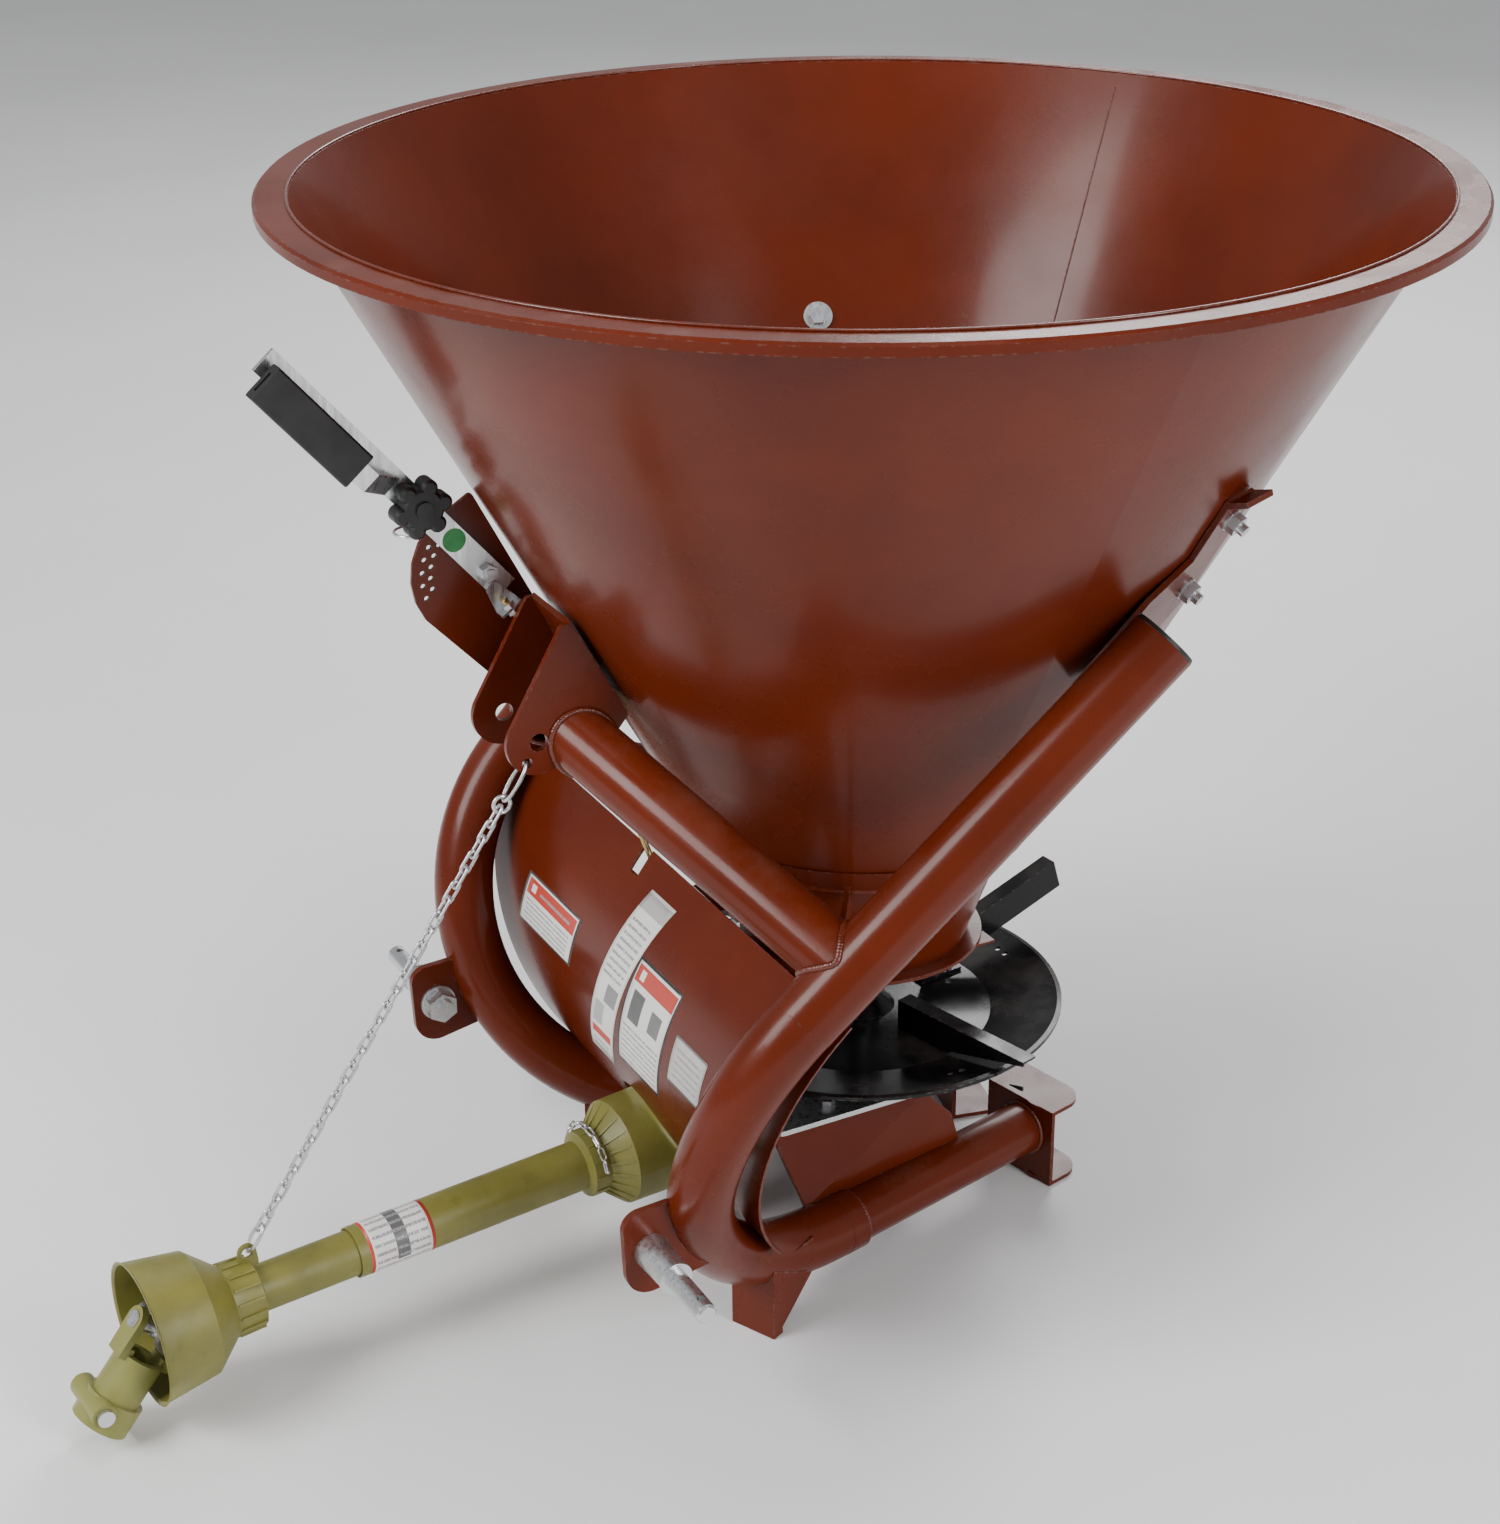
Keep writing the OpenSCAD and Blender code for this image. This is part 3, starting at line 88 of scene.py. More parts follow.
class Shader:
    """A material's node tree, with short calls for the nodes used here."""

    def __init__(self, name):
        self.mat = bpy.data.materials.new(name)
        self.mat.use_nodes = True
        self.tree = self.mat.node_tree
        self.tree.nodes.clear()
        self.out = self.node("ShaderNodeOutputMaterial")
        self.bsdf = self.node("ShaderNodeBsdfPrincipled")
        self.link(self.bsdf.outputs["BSDF"], self.out.inputs["Surface"])
        self.coord = self.node("ShaderNodeTexCoord").outputs["Object"]

    def node(self, kind, **settings):
        made = self.tree.nodes.new(kind)
        for key, value in settings.items():
            setattr(made, key, value)
        return made

    def link(self, source, target):
        self.tree.links.new(source, target)

    def noise(self, scale, detail=4.0, roughness=0.55, stretch=None):
        made = self.node("ShaderNodeTexNoise")
        made.inputs["Scale"].default_value = scale
        made.inputs["Detail"].default_value = detail
        made.inputs["Roughness"].default_value = roughness
        source = self.coord
        if stretch:
            mapping = self.node("ShaderNodeMapping")
            mapping.inputs["Scale"].default_value = stretch
            self.link(self.coord, mapping.inputs["Vector"])
            source = mapping.outputs["Vector"]
        self.link(source, made.inputs["Vector"])
        return made.outputs["Fac"]

    def cells(self, scale):
        made = self.node("ShaderNodeTexVoronoi")
        made.inputs["Scale"].default_value = scale
        self.link(self.coord, made.inputs["Vector"])
        return made.outputs["Color"]

    def ramp(self, value, low, high, start=0.0, end=1.0):
        made = self.node("ShaderNodeMapRange")
        made.inputs["From Min"].default_value = low
        made.inputs["From Max"].default_value = high
        made.inputs["To Min"].default_value = start
        made.inputs["To Max"].default_value = end
        self.link(value, made.inputs["Value"])
        return made.outputs["Result"]

    def maths(self, operation, first, second):
        made = self.node("ShaderNodeMath", operation=operation)
        for socket, value in zip(made.inputs, (first, second)):
            if isinstance(value, (int, float)):
                socket.default_value = value
            else:
                self.link(value, socket)
        return made.outputs["Value"]

    def mix(self, factor, first, second):
        made = self.node("ShaderNodeMix", data_type="RGBA")
        for name, value in (("Factor", factor), ("A", first), ("B", second)):
            socket = next(s for s in made.inputs if s.name == name and s.enabled)
            if isinstance(value, tuple):
                socket.default_value = (*value, 1.0)
            elif isinstance(value, float):
                socket.default_value = value
            else:
                self.link(value, socket)
        return next(s for s in made.outputs if s.enabled)

    def set(self, **values):
        for name, value in values.items():
            socket = self.bsdf.inputs[name.replace("_", " ")]
            if isinstance(value, (int, float)):
                socket.default_value = value
            elif isinstance(value, tuple):
                socket.default_value = (*value, 1.0)
            else:
                self.link(value, socket)

    def bump(self, height, distance, strength=0.5, edge=0.0006):
        """Bump on top of edges rounded by the given radius in metres."""
        rounded = self.node("ShaderNodeBevel", samples=3)
        rounded.inputs["Radius"].default_value = edge
        made = self.node("ShaderNodeBump")
        made.inputs["Distance"].default_value = distance
        made.inputs["Strength"].default_value = strength
        self.link(height, made.inputs["Height"])
        self.link(rounded.outputs["Normal"], made.inputs["Normal"])
        self.link(made.outputs["Normal"], self.bsdf.inputs["Normal"])

    def edges(self, radius=0.002):
        """1 on convex edges and 0 on flats."""
        rounded = self.node("ShaderNodeBevel", samples=3)
        rounded.inputs["Radius"].default_value = radius
        geometry = self.node("ShaderNodeNewGeometry")
        dot = self.node("ShaderNodeVectorMath", operation="DOT_PRODUCT")
        self.link(rounded.outputs["Normal"], dot.inputs[0])
        self.link(geometry.outputs["Normal"], dot.inputs[1])
        return self.ramp(dot.outputs["Value"], 0.995, 0.90)

    def upward(self):
        geometry = self.node("ShaderNodeNewGeometry")
        split = self.node("ShaderNodeSeparateXYZ")
        self.link(geometry.outputs["Normal"], split.inputs["Vector"])
        return split.outputs["Z"]


# ---------- materials ----------

def paint_material(name, base, dark, rough, worn):
    """Gloss powder coat: slow colour drift, orange peel, dust on ledges and chipped edges."""
    s = Shader(name)
    drift = s.ramp(s.noise(5.0, 5.0), 0.35, 0.65)
    coat = s.mix(drift, dark, base)
    speck = s.ramp(s.noise(420.0, 2.0), 0.62, 0.78, 0.0, 0.18)
    coat = s.mix(speck, coat, tuple(0.6 * c for c in dark))
    ledges = s.ramp(s.upward(), 0.55, 1.0)
    dust_mask = s.maths("MULTIPLY", ledges, s.ramp(s.noise(14.0, 6.0), 0.48, 0.72))
    coat = s.mix(s.maths("MULTIPLY", dust_mask, 0.10), coat, (0.34, 0.27, 0.22))
    chips = s.maths("MULTIPLY", s.edges(), s.ramp(s.noise(130.0, 4.0), 0.52, 0.60))
    coat = s.mix(s.maths("MULTIPLY", chips, worn), coat, (0.20, 0.17, 0.15))
    haze = s.ramp(s.noise(9.0, 6.0), 0.3, 0.75, rough - 0.05, rough + 0.10)
    s.set(Base_Color=coat, Roughness=s.maths("ADD", haze, s.maths("MULTIPLY", dust_mask, 0.2)))
    s.set(Coat_Weight=0.10, Coat_Roughness=0.10, Specular_IOR_Level=0.18)
    peel = s.maths("ADD", s.noise(260.0, 2.0), s.maths("MULTIPLY", s.noise(900.0, 2.0), 0.4))
    s.bump(peel, 0.0004, 0.22)
    return s.mat


def plated_material(name, base, tint, rough):
    """Zinc plate: faint spangle, brushed grain and a few dull stains."""
    s = Shader(name)
    spangle = s.ramp(s.cells(160.0), 0.0, 1.0, 0.0, 0.22)
    colour = s.mix(s.maths("MULTIPLY", spangle, s.ramp(s.noise(30.0), 0.35, 0.7)), base, tint)
    stain = s.ramp(s.noise(55.0, 6.0), 0.64, 0.84, 0.0, 0.16)
    colour = s.mix(stain, colour, tuple(0.55 * c for c in tint))
    grain = s.noise(240.0, 3.0, stretch=(1.0, 1.0, 0.08))
    s.set(Base_Color=colour, Metallic=0.95,
          Roughness=s.ramp(grain, 0.3, 0.7, rough - 0.08, rough + 0.12))
    s.bump(grain, 0.0001, 0.25, edge=0.0004)
    return s.mat


def steel_material(name, base, rough, oil):
    """Machined steel with turned grain and an oil film."""
    s = Shader(name)
    grain = s.noise(500.0, 3.0, stretch=(1.0, 0.06, 1.0))
    film = s.ramp(s.noise(25.0, 5.0), 0.45, 0.7, 0.0, oil)
    colour = s.mix(film, base, (0.10, 0.08, 0.06))
    s.set(Base_Color=colour, Metallic=0.9,
          Roughness=s.ramp(grain, 0.3, 0.7, rough - 0.08, rough + 0.14))
    s.bump(grain, 0.0001, 0.4, edge=0.0004)
    return s.mat


def cast_material(name, base):
    """Sand-cast skin under dark paint."""
    s = Shader(name)
    skin = s.noise(320.0, 5.0, 0.7)
    colour = s.mix(s.ramp(s.noise(40.0, 5.0), 0.4, 0.7), base, tuple(1.7 * c for c in base))
    s.set(Base_Color=colour, Roughness=s.ramp(skin, 0.3, 0.7, 0.45, 0.7), Metallic=0.2)
    s.bump(skin, 0.0006, 0.7)
    return s.mat


def plastic_material(name, base, rough, grain_scale, scuff):
    """Moulded plastic: fine grain, uneven sheen, pale scuffs along the edges."""
    s = Shader(name)
    drift = s.mix(s.ramp(s.noise(18.0, 5.0), 0.35, 0.7), base, tuple(0.72 * c for c in base))
    dirt = s.ramp(s.noise(60.0, 7.0, 0.65), 0.56, 0.74, 0.0, 0.35)
    colour = s.mix(dirt, drift, tuple(0.35 * c for c in base))
    marks = s.maths("MULTIPLY", s.edges(0.0015), s.ramp(s.noise(90.0, 4.0), 0.45, 0.6))
    pale = tuple(min(1.0, 1.6 * c + 0.05) for c in base)
    colour = s.mix(s.maths("MULTIPLY", marks, scuff), colour, pale)
    grain = s.noise(grain_scale, 3.0)
    s.set(Base_Color=colour, Specular_IOR_Level=0.5,
          Roughness=s.ramp(s.noise(35.0, 4.0), 0.3, 0.7, rough - 0.07, rough + 0.12))
    s.bump(grain, 0.0003, 0.3)
    return s.mat


def weld_material(name, base):
    """Painted weld bead, a little glossier on its crests."""
    s = Shader(name)
    colour = s.mix(s.ramp(s.noise(70.0, 4.0), 0.35, 0.7), base, tuple(0.7 * c for c in base))
    s.set(Base_Color=colour, Coat_Weight=0.3,
          Roughness=s.ramp(s.noise(150.0), 0.3, 0.7, 0.18, 0.36))
    s.bump(s.noise(600.0, 3.0), 0.0003, 0.5, edge=0.0003)
    return s.mat


def band(s, value, low, high):
    """1 where value lies between low and high."""
    above = s.maths("GREATER_THAN", value, low)
    return s.maths("MULTIPLY", above, s.maths("LESS_THAN", value, high))


def label_material(name, ground, blocks, rules, rule_colour=(0.30, 0.30, 0.31)):
    """A blank printed label.

    Blocks are (u0, u1, v0, v1, colour) and rules are (u0, u1, v0, v1, count).
    """
    s = Shader(name)
    uv = s.node("ShaderNodeTexCoord").outputs["UV"]
    split = s.node("ShaderNodeSeparateXYZ")
    s.link(uv, split.inputs["Vector"])
    u, v = split.outputs["X"], split.outputs["Y"]
    wear = s.ramp(s.noise(60.0, 5.0), 0.4, 0.75, 0.0, 0.25)
    paper = s.mix(wear, ground, tuple(0.8 * c for c in ground))
    for u0, u1, v0, v1, colour in blocks:
        mask = s.maths("MULTIPLY", band(s, u, u0, u1), band(s, v, v0, v1))
        paper = s.mix(mask, paper, colour)
    for u0, u1, v0, v1, count in rules:
        ragged = s.ramp(s.noise(700.0, 1.0, stretch=(1.0, 1.0, 0.2)), 0.40, 0.42)
        rows = s.maths("FRACT", s.maths("MULTIPLY", s.ramp(v, v0, v1), float(count)), 0.0)
        mask = s.maths("MULTIPLY", band(s, rows, 0.25, 0.62), ragged)
        mask = s.maths("MULTIPLY", mask, band(s, u, u0, u1))
        mask = s.maths("MULTIPLY", mask, band(s, v, v0, v1))
        paper = s.mix(mask, paper, rule_colour)
    s.set(Base_Color=paper, Roughness=s.ramp(s.noise(120.0), 0.3, 0.7, 0.32, 0.5))
    s.bump(s.noise(300.0, 2.0), 0.0001, 0.2, edge=0.0003)
    return s.mat


def floor_material():
    s = Shader("studio_floor")
    tone = s.mix(s.ramp(s.noise(1.5, 3.0), 0.3, 0.7), (0.86, 0.86, 0.86), (0.82, 0.82, 0.82))
    s.set(Base_Color=tone, Roughness=0.7)
    return s.mat


RED = (0.122, 0.0155, 0.0034)
RED_DARK = (0.092, 0.0115, 0.0028)
BLACK = (0.010, 0.010, 0.011)
BLACK_DARK = (0.006, 0.006, 0.007)
SOOT = (0.012, 0.012, 0.012)
OLIVE = (0.205, 0.190, 0.036)
OLIVE_PAINT = (0.24, 0.235, 0.07)
OLIVE_DARK = (0.17, 0.165, 0.05)
ZINC = (0.66, 0.67, 0.68)
ZINC_BLUE = (0.44, 0.46, 0.50)
ZINC_YELLOW = (0.62, 0.50, 0.22)
ZINC_PINK = (0.50, 0.36, 0.30)


def build_materials():
    return {
        "powder_coat": paint_material("powder_coat", RED, RED_DARK, 0.24, 0.6),
        "black_paint": paint_material("black_paint", BLACK, BLACK_DARK, 0.20, 0.8),
        "olive_steel": paint_material("olive_steel", OLIVE_PAINT, OLIVE_DARK, 0.36, 0.9),
        "zinc_plate": plated_material("zinc_plate", ZINC, ZINC_BLUE, 0.30),
        "yellow_zinc": plated_material("yellow_zinc", ZINC_YELLOW, ZINC_PINK, 0.28),
        "bare_steel": steel_material("bare_steel", (0.36, 0.35, 0.34), 0.34, 0.6),
        "gear_housing": cast_material("gear_housing", (0.055, 0.055, 0.06)),
        "olive_plastic": plastic_material("olive_plastic", OLIVE, 0.42, 500.0, 0.5),
        "black_plastic": plastic_material("black_plastic", SOOT, 0.46, 700.0, 0.35),
        "weld": weld_material("painted_weld", RED),
    }


# ---------- mesh helpers ----------

def mesh_object(name, bm, material, smooth=True):
    """Object from a mesh built about the spinner axis, moved to the part's origin."""
    mesh = bpy.data.meshes.new(name)
    bmesh.ops.translate(bm, verts=bm.verts, vec=SPINNER_AXIS * MM)
    bm.normal_update()
    bm.to_mesh(mesh)
    bm.free()
    obj = bpy.data.objects.new(name, mesh)
    bpy.context.scene.collection.objects.link(obj)
    mesh.materials.append(material)
    if smooth:
        mesh.polygons.foreach_set("use_smooth", [True] * len(mesh.polygons))
    return obj


def sweep(name, points, radius_at, material, closed=False, sides=10):
    """A round bar along points (mm); radius_at(index) gives its radius in mm."""
    bm = bmesh.new()
    count = len(points)
    rings = []
    for i, point in enumerate(points):
        before = points[i - 1] if closed or i else point
        after = points[(i + 1) % count] if closed or i < count - 1 else point
        tangent = (after - before).normalized()
        side = tangent.cross(Vector((0.13, 0.21, 0.97))).normalized()
        up = tangent.cross(side)
        r = radius_at(i)
        rings.append([
            bm.verts.new((point + r * (math.cos(a) * side + math.sin(a) * up)) * MM)
            for a in (2 * math.pi * k / sides for k in range(sides))
        ])
    spans = count if closed else count - 1
    for i in range(spans):
        ring, following = rings[i], rings[(i + 1) % count]
        for k in range(sides):
            j = (k + 1) % sides
            bm.faces.new((ring[k], ring[j], following[j], following[k]))
    if not closed:
        bm.faces.new(list(reversed(rings[0])))
        bm.faces.new(rings[-1])
    bmesh.ops.recalc_face_normals(bm, faces=bm.faces)
    return mesh_object(name, bm, material)


def resample(points, step, closed):
    """Points every step mm along a polyline."""
    line = points + [points[0]] if closed else list(points)
    out, carry = [], 0.0
    for a, b in zip(line, line[1:]):
        length = (b - a).length
        while carry < length:
            out.append(a.lerp(b, carry / length))
            carry += step
        carry -= length
    return out


def weld_bead(name, points, material, width=3.4, closed=False, body="frame"):
    """A weld bead laid as overlapping ripples along points, seeded by its own name."""
    rng = random.Random(name)
    path = resample([Vector(p) for p in points], 0.9, closed)
    path = [p + Vector([rng.uniform(-0.15, 0.15) for _ in range(3)]) for p in path]
    ripple = [width * (0.86 + 0.16 * abs(math.sin(0.9 * i)) + rng.uniform(-0.03, 0.03))
              for i in range(len(path))]
    obj = sweep(name, path, lambda i: ripple[i], material, closed, sides=8)
    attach(obj, body)


def mirrored(points):
    return [Vector((-p[0], p[1], p[2])) for p in points]


def weld_pair(name, points, material, **settings):
    """The same bead on the right and on the left side of the frame."""
    weld_bead(name + "_right", points, material, **settings)
    weld_bead(name + "_left", mirrored(points), material, **settings)


# ---------- frame geometry, as the CAD has it ----------

def side_plane():
    """Matrix from the plane of the right side frame to the machine, in mm."""
    return (Matrix.Translation(BEND_CENTRE) @ Matrix.Rotation(math.radians(TOE_IN), 4, "Z")
            @ Matrix.Rotation(math.radians(SPLAY), 4, "Y"))


def leg_axis():
    """Start and direction of the straight leg of the right side frame."""
    a = math.radians(90 + LEG_SLOPE)
    start = side_plane() @ Vector((0, BEND_RADIUS * math.cos(a), BEND_RADIUS * math.sin(a)))
    slope = math.radians(LEG_SLOPE)
    direction = side_plane().to_3x3() @ Vector((0, math.cos(slope), math.sin(slope)))
    return start, direction


def circle_points(centre, normal, radius, count=72):
    normal = normal.normalized()
    side = normal.orthogonal().normalized()
    up = normal.cross(side)
    angles = [math.radians(360.0 * k / count) for k in range(count)]
    return [centre + radius * (math.cos(a) * side + math.sin(a) * up) for a in angles]


def tube_on_tube(top, foot, radius, base_start, base_dir, base_radius, count=90):
    """Where the wall of one tube meets another tube, as a closed line."""
    axis = (foot - top).normalized()
    line = []
    for rim in circle_points(top, axis, radius, count):
        across = rim - base_start
        a = axis - axis.dot(base_dir) * base_dir
        b = across - across.dot(base_dir) * base_dir
        qa, qb, qc = a.dot(a), 2 * a.dot(b), b.dot(b) - base_radius ** 2
        disc = qb * qb - 4 * qa * qc
        if disc > 0:
            line.append(rim + axis * ((-qb - math.sqrt(disc)) / (2 * qa)))
    return line


def tube_on_plane(top, foot, radius, x):
    """Where the wall of a tube meets the plane of that x."""
    axis = (foot - top).normalized()
    return [p + axis * ((x - p.x) / axis.x) for p in circle_points(top, axis, radius)]


def shaft_matrix():
    """Matrix from the driveline (z along it, y up) to the machine, in mm."""
    return (Matrix.Translation(REAR_CROSS) @ Matrix.Rotation(math.radians(SHAFT_YAW), 4, "Z")
            @ Matrix.Rotation(math.radians(SHAFT_PITCH), 4, "X")
            @ Matrix.Rotation(math.radians(90), 4, "X"))


# ---------- pieces ----------

def add_welds(material):
    """Beads at both ends of the mast tubes and of the skid tubes."""
    plane = side_plane()
    start, direction = leg_axis()
    mast_r = TUBE_R - 0.5
    weld_pair("weld_mast_foot",
              tube_on_tube(MAST_TOP, MAST_FOOT, mast_r, start, direction, TUBE_R),
              material, width=4.2)
    weld_pair("weld_mast_top", tube_on_plane(MAST_TOP, MAST_FOOT, mast_r, CHEEK_X),
              material, width=3.6, closed=True)
    skid_dir = plane.to_3x3() @ Vector((0, 1, 0))
    for name, y, stand_off, width in (("weld_skid_sleeve", STUB_LENGTH, 1.6, 3.0),
                                      ("weld_skid_end", SKID_WELD_Y, 0.6, 2.8)):
        centre = plane @ Vector((0, y, -BEND_RADIUS))
        weld_pair(name, circle_points(centre, skid_dir, SKID_R + stand_off), material,
                  width=width, closed=True)


def add_hopper_details(material):
    """Seam of the rolled cone on both faces, and the bead inside the rim."""
    seam_angle = math.radians(SEAM_ANGLE)
    radial = Vector((math.cos(seam_angle), math.sin(seam_angle), 0))
    for name, offset in (("hopper_seam_outside", 0.3), ("hopper_seam_inside", -SHEET - 0.6)):
        ends = []
        for z in (SEAM_LOW, SEAM_HIGH):
            radius = (z - RIM_Z + CONE_TOP_R / CONE_TAN) * CONE_TAN + offset
            ends.append(radial * radius + Vector((0, 0, z)))
        weld_bead(name, ends, material, width=1.1)
    bead = circle_points(Vector((0, 0, RIM_Z + 1.0)), Vector((0, 0, 1)), CONE_TOP_R - 1.0, 240)
    ring = sweep("rim_inner_bead", bead, lambda i: 1.6, material, closed=True)
    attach(ring, "frame")


def label_patch(name, place, material, columns=8, rows=16):
    """A thin sheet whose point (u, v) in 0..1 stands at place(u, v, lift) in mm."""
    bm = bmesh.new()
    uv_layer = bm.loops.layers.uv.new("UVMap")
    top, bottom = [
        [[bm.verts.new(place(i / columns, j / rows, lift) * MM) for i in range(columns + 1)]
         for j in range(rows + 1)]
        for lift in (LABEL_TOP, LABEL_BOTTOM)
    ]

    def quad(corners, uvs):
        face = bm.faces.new(corners)
        for loop, uv in zip(face.loops, uvs):
            loop[uv_layer].uv = uv

    for j in range(rows):
        for i in range(columns):
            uvs = [(i / columns, j / rows), ((i + 1) / columns, j / rows),
                   ((i + 1) / columns, (j + 1) / rows), (i / columns, (j + 1) / rows)]
            quad((top[j][i], top[j][i + 1], top[j + 1][i + 1], top[j + 1][i]), uvs)
            quad((bottom[j][i], bottom[j + 1][i], bottom[j + 1][i + 1], bottom[j][i + 1]), uvs)
    rim = ([(0, i) for i in range(columns)] + [(j, columns) for j in range(rows)]
           + [(rows, i) for i in range(columns, 0, -1)] + [(j, 0) for j in range(rows, 0, -1)])
    for (j, i), (l, k) in zip(rim, rim[1:] + rim[:1]):
        quad((top[j][i], bottom[j][i], bottom[l][k], top[l][k]), [(0.0, 0.0)] * 4)
    bmesh.ops.recalc_face_normals(bm, faces=bm.faces)
    return mesh_object(name, bm, material)


def shield_point(x, angle, lift):
    """Point on the front shield at that x and angle above level, lifted off its face."""
    a = math.radians(angle)
    r = SHIELD_R + lift
    return Vector((x, SHIELD_Y - r * math.cos(a), SHIELD_Z + r * math.sin(a)))


WHITE = (0.80, 0.79, 0.76)
SIGNAL = (0.52, 0.05, 0.03)
INK = (0.05, 0.05, 0.05)


def shield_labels():
    """Four blank labels on the front shield: left, strip, pictogram and plate."""
    warning = label_material("label_left", WHITE, [
        (0.0, 1.0, 0.96, 1.0, INK), (0.0, 1.0, 0.0, 0.04, INK), (0.0, 0.03, 0.0, 1.0, INK),
        (0.97, 1.0, 0.0, 1.0, INK), (0.05, 0.95, 0.60, 0.92, SIGNAL),
        (0.12, 0.20, 0.68, 0.84, WHITE),
    ], [(0.08, 0.90, 0.08, 0.55, 5), (0.28, 0.85, 0.68, 0.84, 1)])
    strip = label_material("label_strip", WHITE, [
        (0.0, 1.0, 0.90, 0.985, (0.45, 0.44, 0.42)), (0.42, 0.88, 0.36, 0.47, (0.25, 0.25, 0.25)),
        (0.12, 0.50, 0.20, 0.34, (0.42, 0.42, 0.42)), (0.10, 0.9, 0.12, 0.17, SIGNAL),
    ], [(0.10, 0.85, 0.50, 0.86, 9), (0.12, 0.8, 0.02, 0.10, 2)])
    pictogram = label_material("label_pictogram", WHITE, [
        (0.0, 1.0, 0.975, 1.0, INK), (0.0, 1.0, 0.0, 0.025, INK), (0.0, 0.03, 0.0, 1.0, INK),
        (0.97, 1.0, 0.0, 1.0, INK), (0.05, 0.95, 0.80, 0.95, SIGNAL),
        (0.14, 0.24, 0.83, 0.92, WHITE),
        (0.14, 0.40, 0.46, 0.74, (0.10, 0.10, 0.10)), (0.60, 0.84, 0.50, 0.70, (0.16, 0.16, 0.16)),
    ], [(0.08, 0.92, 0.05, 0.42, 7)])
    plate = label_material("label_plate", (0.52, 0.51, 0.48), [
        (0.0, 1.0, 0.95, 1.0, (0.2, 0.2, 0.2)), (0.0, 1.0, 0.0, 0.05, (0.2, 0.2, 0.2)),
    ], [(0.1, 0.9, 0.15, 0.85, 5)])
    layout = (
        ("label_left", warning, -261.0, -122.0, 1.6, 16.0, 1.25),
        ("label_strip", strip, -52.0, 5.0, -16.6, 35.0, 1.75),
        ("label_pictogram", pictogram, 6.0, 104.0, -10.5, 21.0, 1.3),
        ("label_plate", plate, 123.0, 192.0, -1.5, 12.0, 1.2),
    )
    for name, material, x0, x1, low, high, skew in layout:
        middle = (low + high) / 2

        def place(u, v, lift, x0=x0, x1=x1, low=low, high=high, skew=skew, middle=middle):
            angle = low + v * (high - low)
            return shield_point(x0 + u * (x1 - x0) + skew * (angle - middle), angle, lift)

        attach(label_patch(name, place, material), "frame")


def guard_label():
    """White wrap with red borders round the upper half of the outer guard tube."""
    material = label_material("label_guard", WHITE, [
        (0.0, 0.05, 0.0, 1.0, SIGNAL), (0.95, 1.0, 0.0, 1.0, SIGNAL),
        (0.40, 0.60, 0.15, 0.85, (0.12, 0.12, 0.12)),
    ], [(0.08, 0.92, 0.06, 0.94, 9)])
    to_machine = shaft_matrix()

    def place(u, v, lift):
        a = math.radians(-50 + 200 * v)
        r = GUARD_TUBE_R + lift
        along = GUARD_LABEL_START - GUARD_LABEL_LENGTH * u
        return to_machine @ Vector((r * math.cos(a), r * math.sin(a), along))

    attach(label_patch("label_guard", place, material, rows=40), "rear_guard_half")


def lever_sticker():
    """Round green blank sticker on the near face of the rate lever."""
    s = Shader("sticker_green")
    green = s.mix(s.ramp(s.noise(90.0, 4.0), 0.4, 0.7), (0.03, 0.30, 0.07), (0.02, 0.22, 0.05))
    s.set(Base_Color=green, Roughness=s.ramp(s.noise(150.0), 0.3, 0.7, 0.3, 0.5))
    s.bump(s.noise(400.0), 0.0001, 0.2, edge=0.0002)
    near_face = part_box("rate_lever")[1][0] / MM + 0.15
    lean = math.radians(LEVER_LEAN)
    along = Vector((0, -math.sin(lean), math.cos(lean)))
    centre = Vector((near_face, LEVER_PIVOT_Y, LEVER_PIVOT_Z)) + STICKER_ALONG * along
    sides = 48
    bm = bmesh.new()
    rings = []
    for x in (0.0, 0.25):
        ring = []
        for a in (2 * math.pi * k / sides for k in range(sides)):
            spoke = Vector((x, STICKER_R * math.cos(a), STICKER_R * math.sin(a)))
            ring.append(bm.verts.new((centre + spoke) * MM))
        rings.append(ring)
    bm.faces.new(rings[1])
    bm.faces.new(list(reversed(rings[0])))
    for k in range(sides):
        j = (k + 1) % sides
        bm.faces.new((rings[0][k], rings[0][j], rings[1][j], rings[1][k]))
    bmesh.ops.recalc_face_normals(bm, faces=bm.faces)
    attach(mesh_object("lever_sticker", bm, s.mat, smooth=False), "lever")


# ---------- studio ----------

# Metres. The floor lies just under the feet, so the two never share a plane.
FLOOR_HALF = 40.0
FLOOR_Z = -0.0006

def area_light(name, location, target, size, power):
    data = bpy.data.lights.new(name, "AREA")
    data.shape = "RECTANGLE"
    data.size, data.size_y = size
    data.energy = power
    obj = bpy.data.objects.new(name, data)
    obj.location = location
    obj.rotation_euler = (Vector(target) - Vector(location)).to_track_quat("-Z", "Y").to_euler()
    bpy.context.scene.collection.objects.link(obj)
    return obj


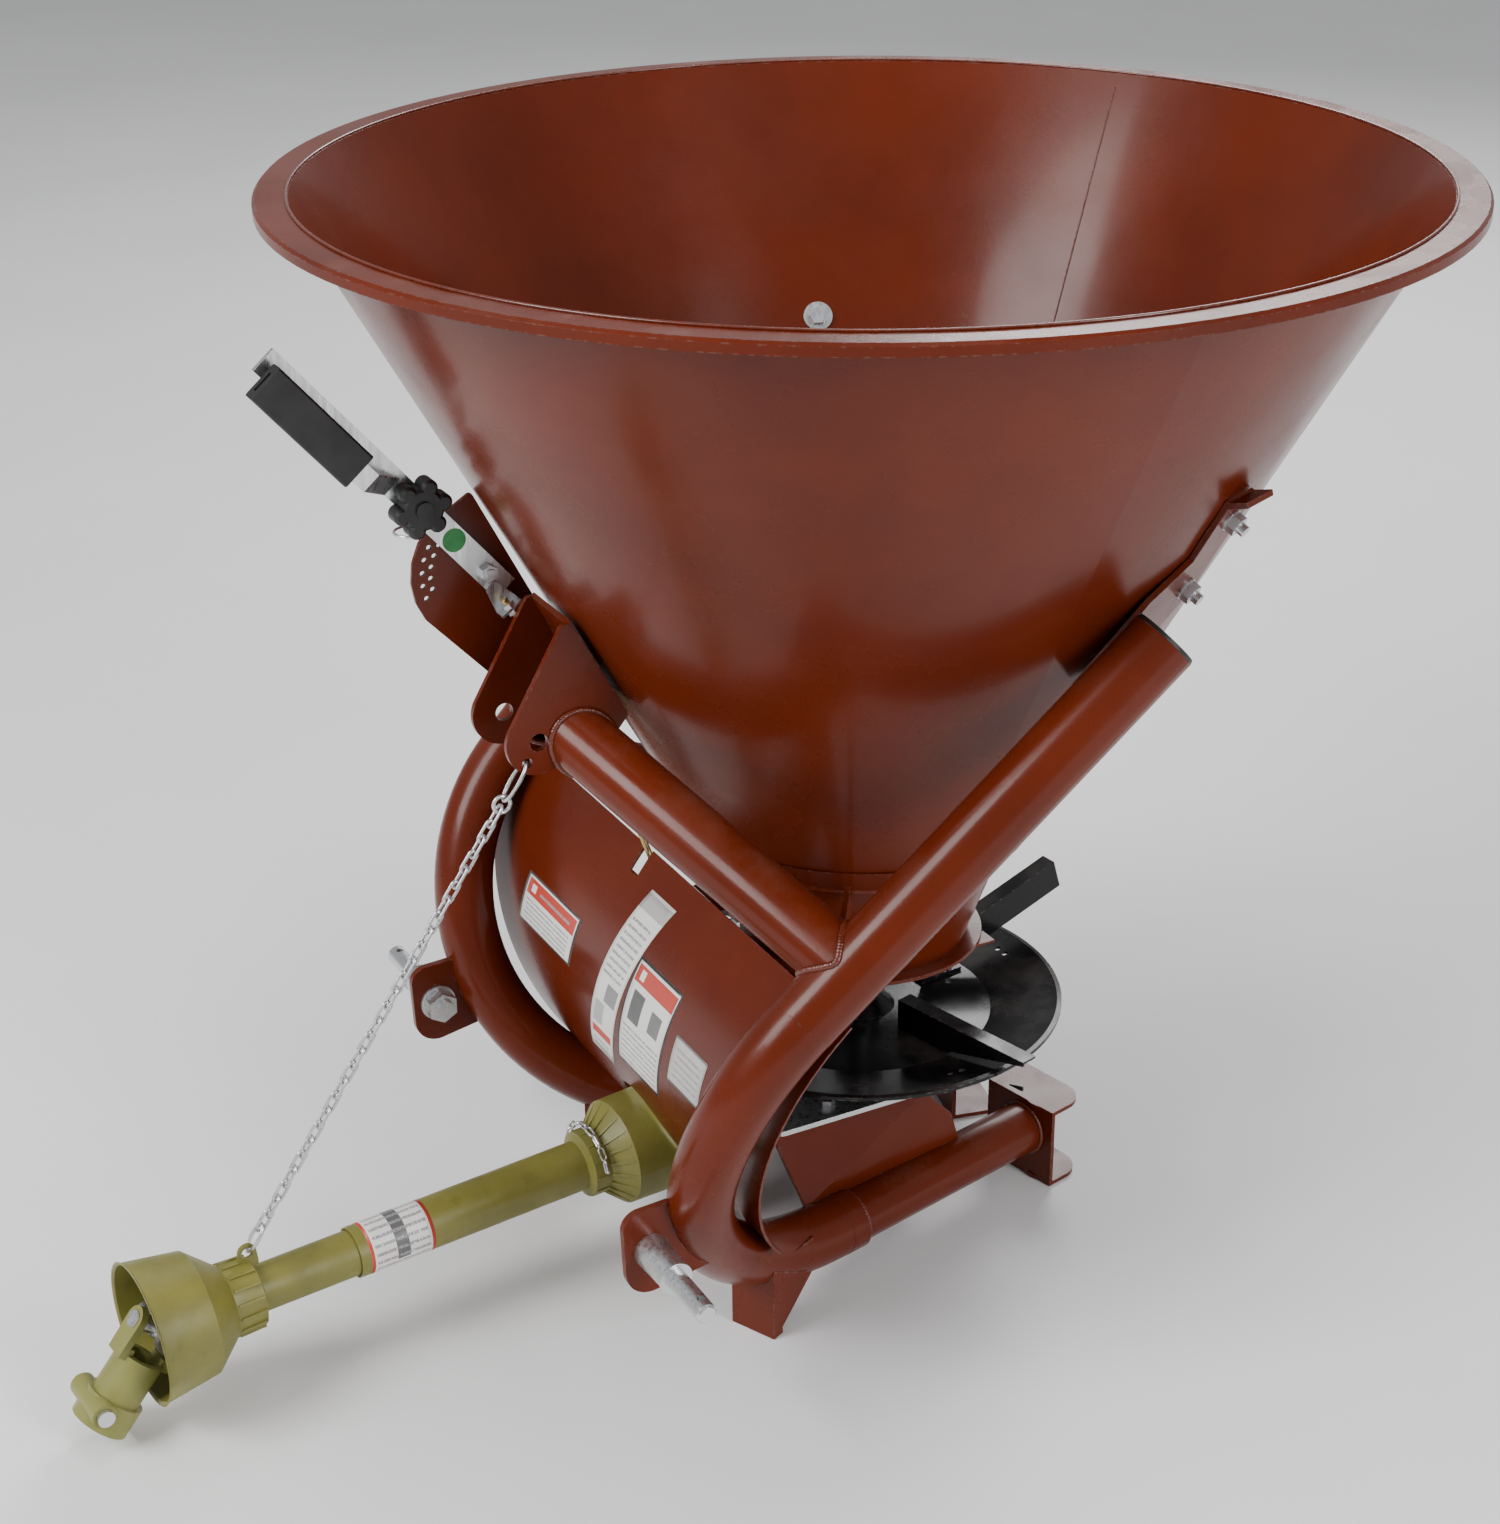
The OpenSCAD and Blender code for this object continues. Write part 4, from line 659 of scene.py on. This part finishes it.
def build_studio():
    bm = bmesh.new()
    corners = [bm.verts.new((x * FLOOR_HALF, y * FLOOR_HALF, FLOOR_Z))
               for x, y in ((-1, -1), (1, -1), (1, 1), (-1, 1))]
    bm.faces.new(corners)
    floor = mesh_object("studio_floor", bm, floor_material(), smooth=False)
    lights = [
        area_light("key_light", (0.2, -4.2, 3.6), (0, 0, 0.7), (2.4, 2.4), 270.0),
        area_light("side_light", (4.6, 1.6, 2.6), (0, 0, 0.8), (1.2, 3.0), 150.0),
        area_light("rear_light", (-3.4, 3.4, 3.8), (0, 0, 0.9), (2.0, 2.0), 160.0),
        area_light("top_light", (0.4, 0.2, 4.6), (0, 0, 0.5), (1.6, 1.6), 45.0),
    ]
    world = bpy.data.worlds.new("studio")
    bpy.context.scene.world = world
    world.use_nodes = True
    background = world.node_tree.nodes["Background"]
    background.inputs["Color"].default_value = (0.97, 0.98, 1.0, 1.0)
    background.inputs["Strength"].default_value = 0.42


CAMERA_PLACE = Vector((2.3102, -1.1931, 1.7914))
CAMERA_AZIMUTH = 62.072885
CAMERA_ELEVATION = 25.174447
CAMERA_ROLL = -0.593465
CAMERA_LENS = 63.8862


def build_camera():
    """Camera at the height and side from which the machine is usually shown."""
    data = bpy.data.cameras.new("camera")
    data.lens = CAMERA_LENS
    data.sensor_width = 36.0
    camera = bpy.data.objects.new("camera", data)
    bpy.context.scene.collection.objects.link(camera)
    azimuth = math.radians(CAMERA_AZIMUTH)
    elevation = math.radians(CAMERA_ELEVATION)
    roll = math.radians(CAMERA_ROLL)
    forward = Vector((-math.sin(azimuth) * math.cos(elevation),
                      math.cos(azimuth) * math.cos(elevation),
                      -math.sin(elevation)))
    right = Vector((math.cos(azimuth), math.sin(azimuth), 0.0))
    up = right.cross(forward)
    turned_right = math.cos(roll) * right + math.sin(roll) * up
    turned_up = -math.sin(roll) * right + math.cos(roll) * up
    axes = Matrix((turned_right, turned_up, -forward)).transposed()
    camera.matrix_world = Matrix.Translation(CAMERA_PLACE) @ axes.to_4x4()
    bpy.context.scene.camera = camera


# ---------- build ----------

def dress_cad(frame, materials):
    """Gives every CAD node the material of its slot."""
    slots = {part["node"]: part["material_slot"] for part in frame["record"]["subparts"]}
    for name, obj in frame["nodes"].items():
        obj.data.materials.clear()
        obj.data.materials.append(materials[slots[name]])


def main():
    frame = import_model()
    materials = build_materials()
    dress_cad(frame, materials)
    add_welds(materials["weld"])
    add_hopper_details(materials["weld"])
    shield_labels()
    guard_label()
    lever_sticker()
    build_studio()
    build_camera()


main()
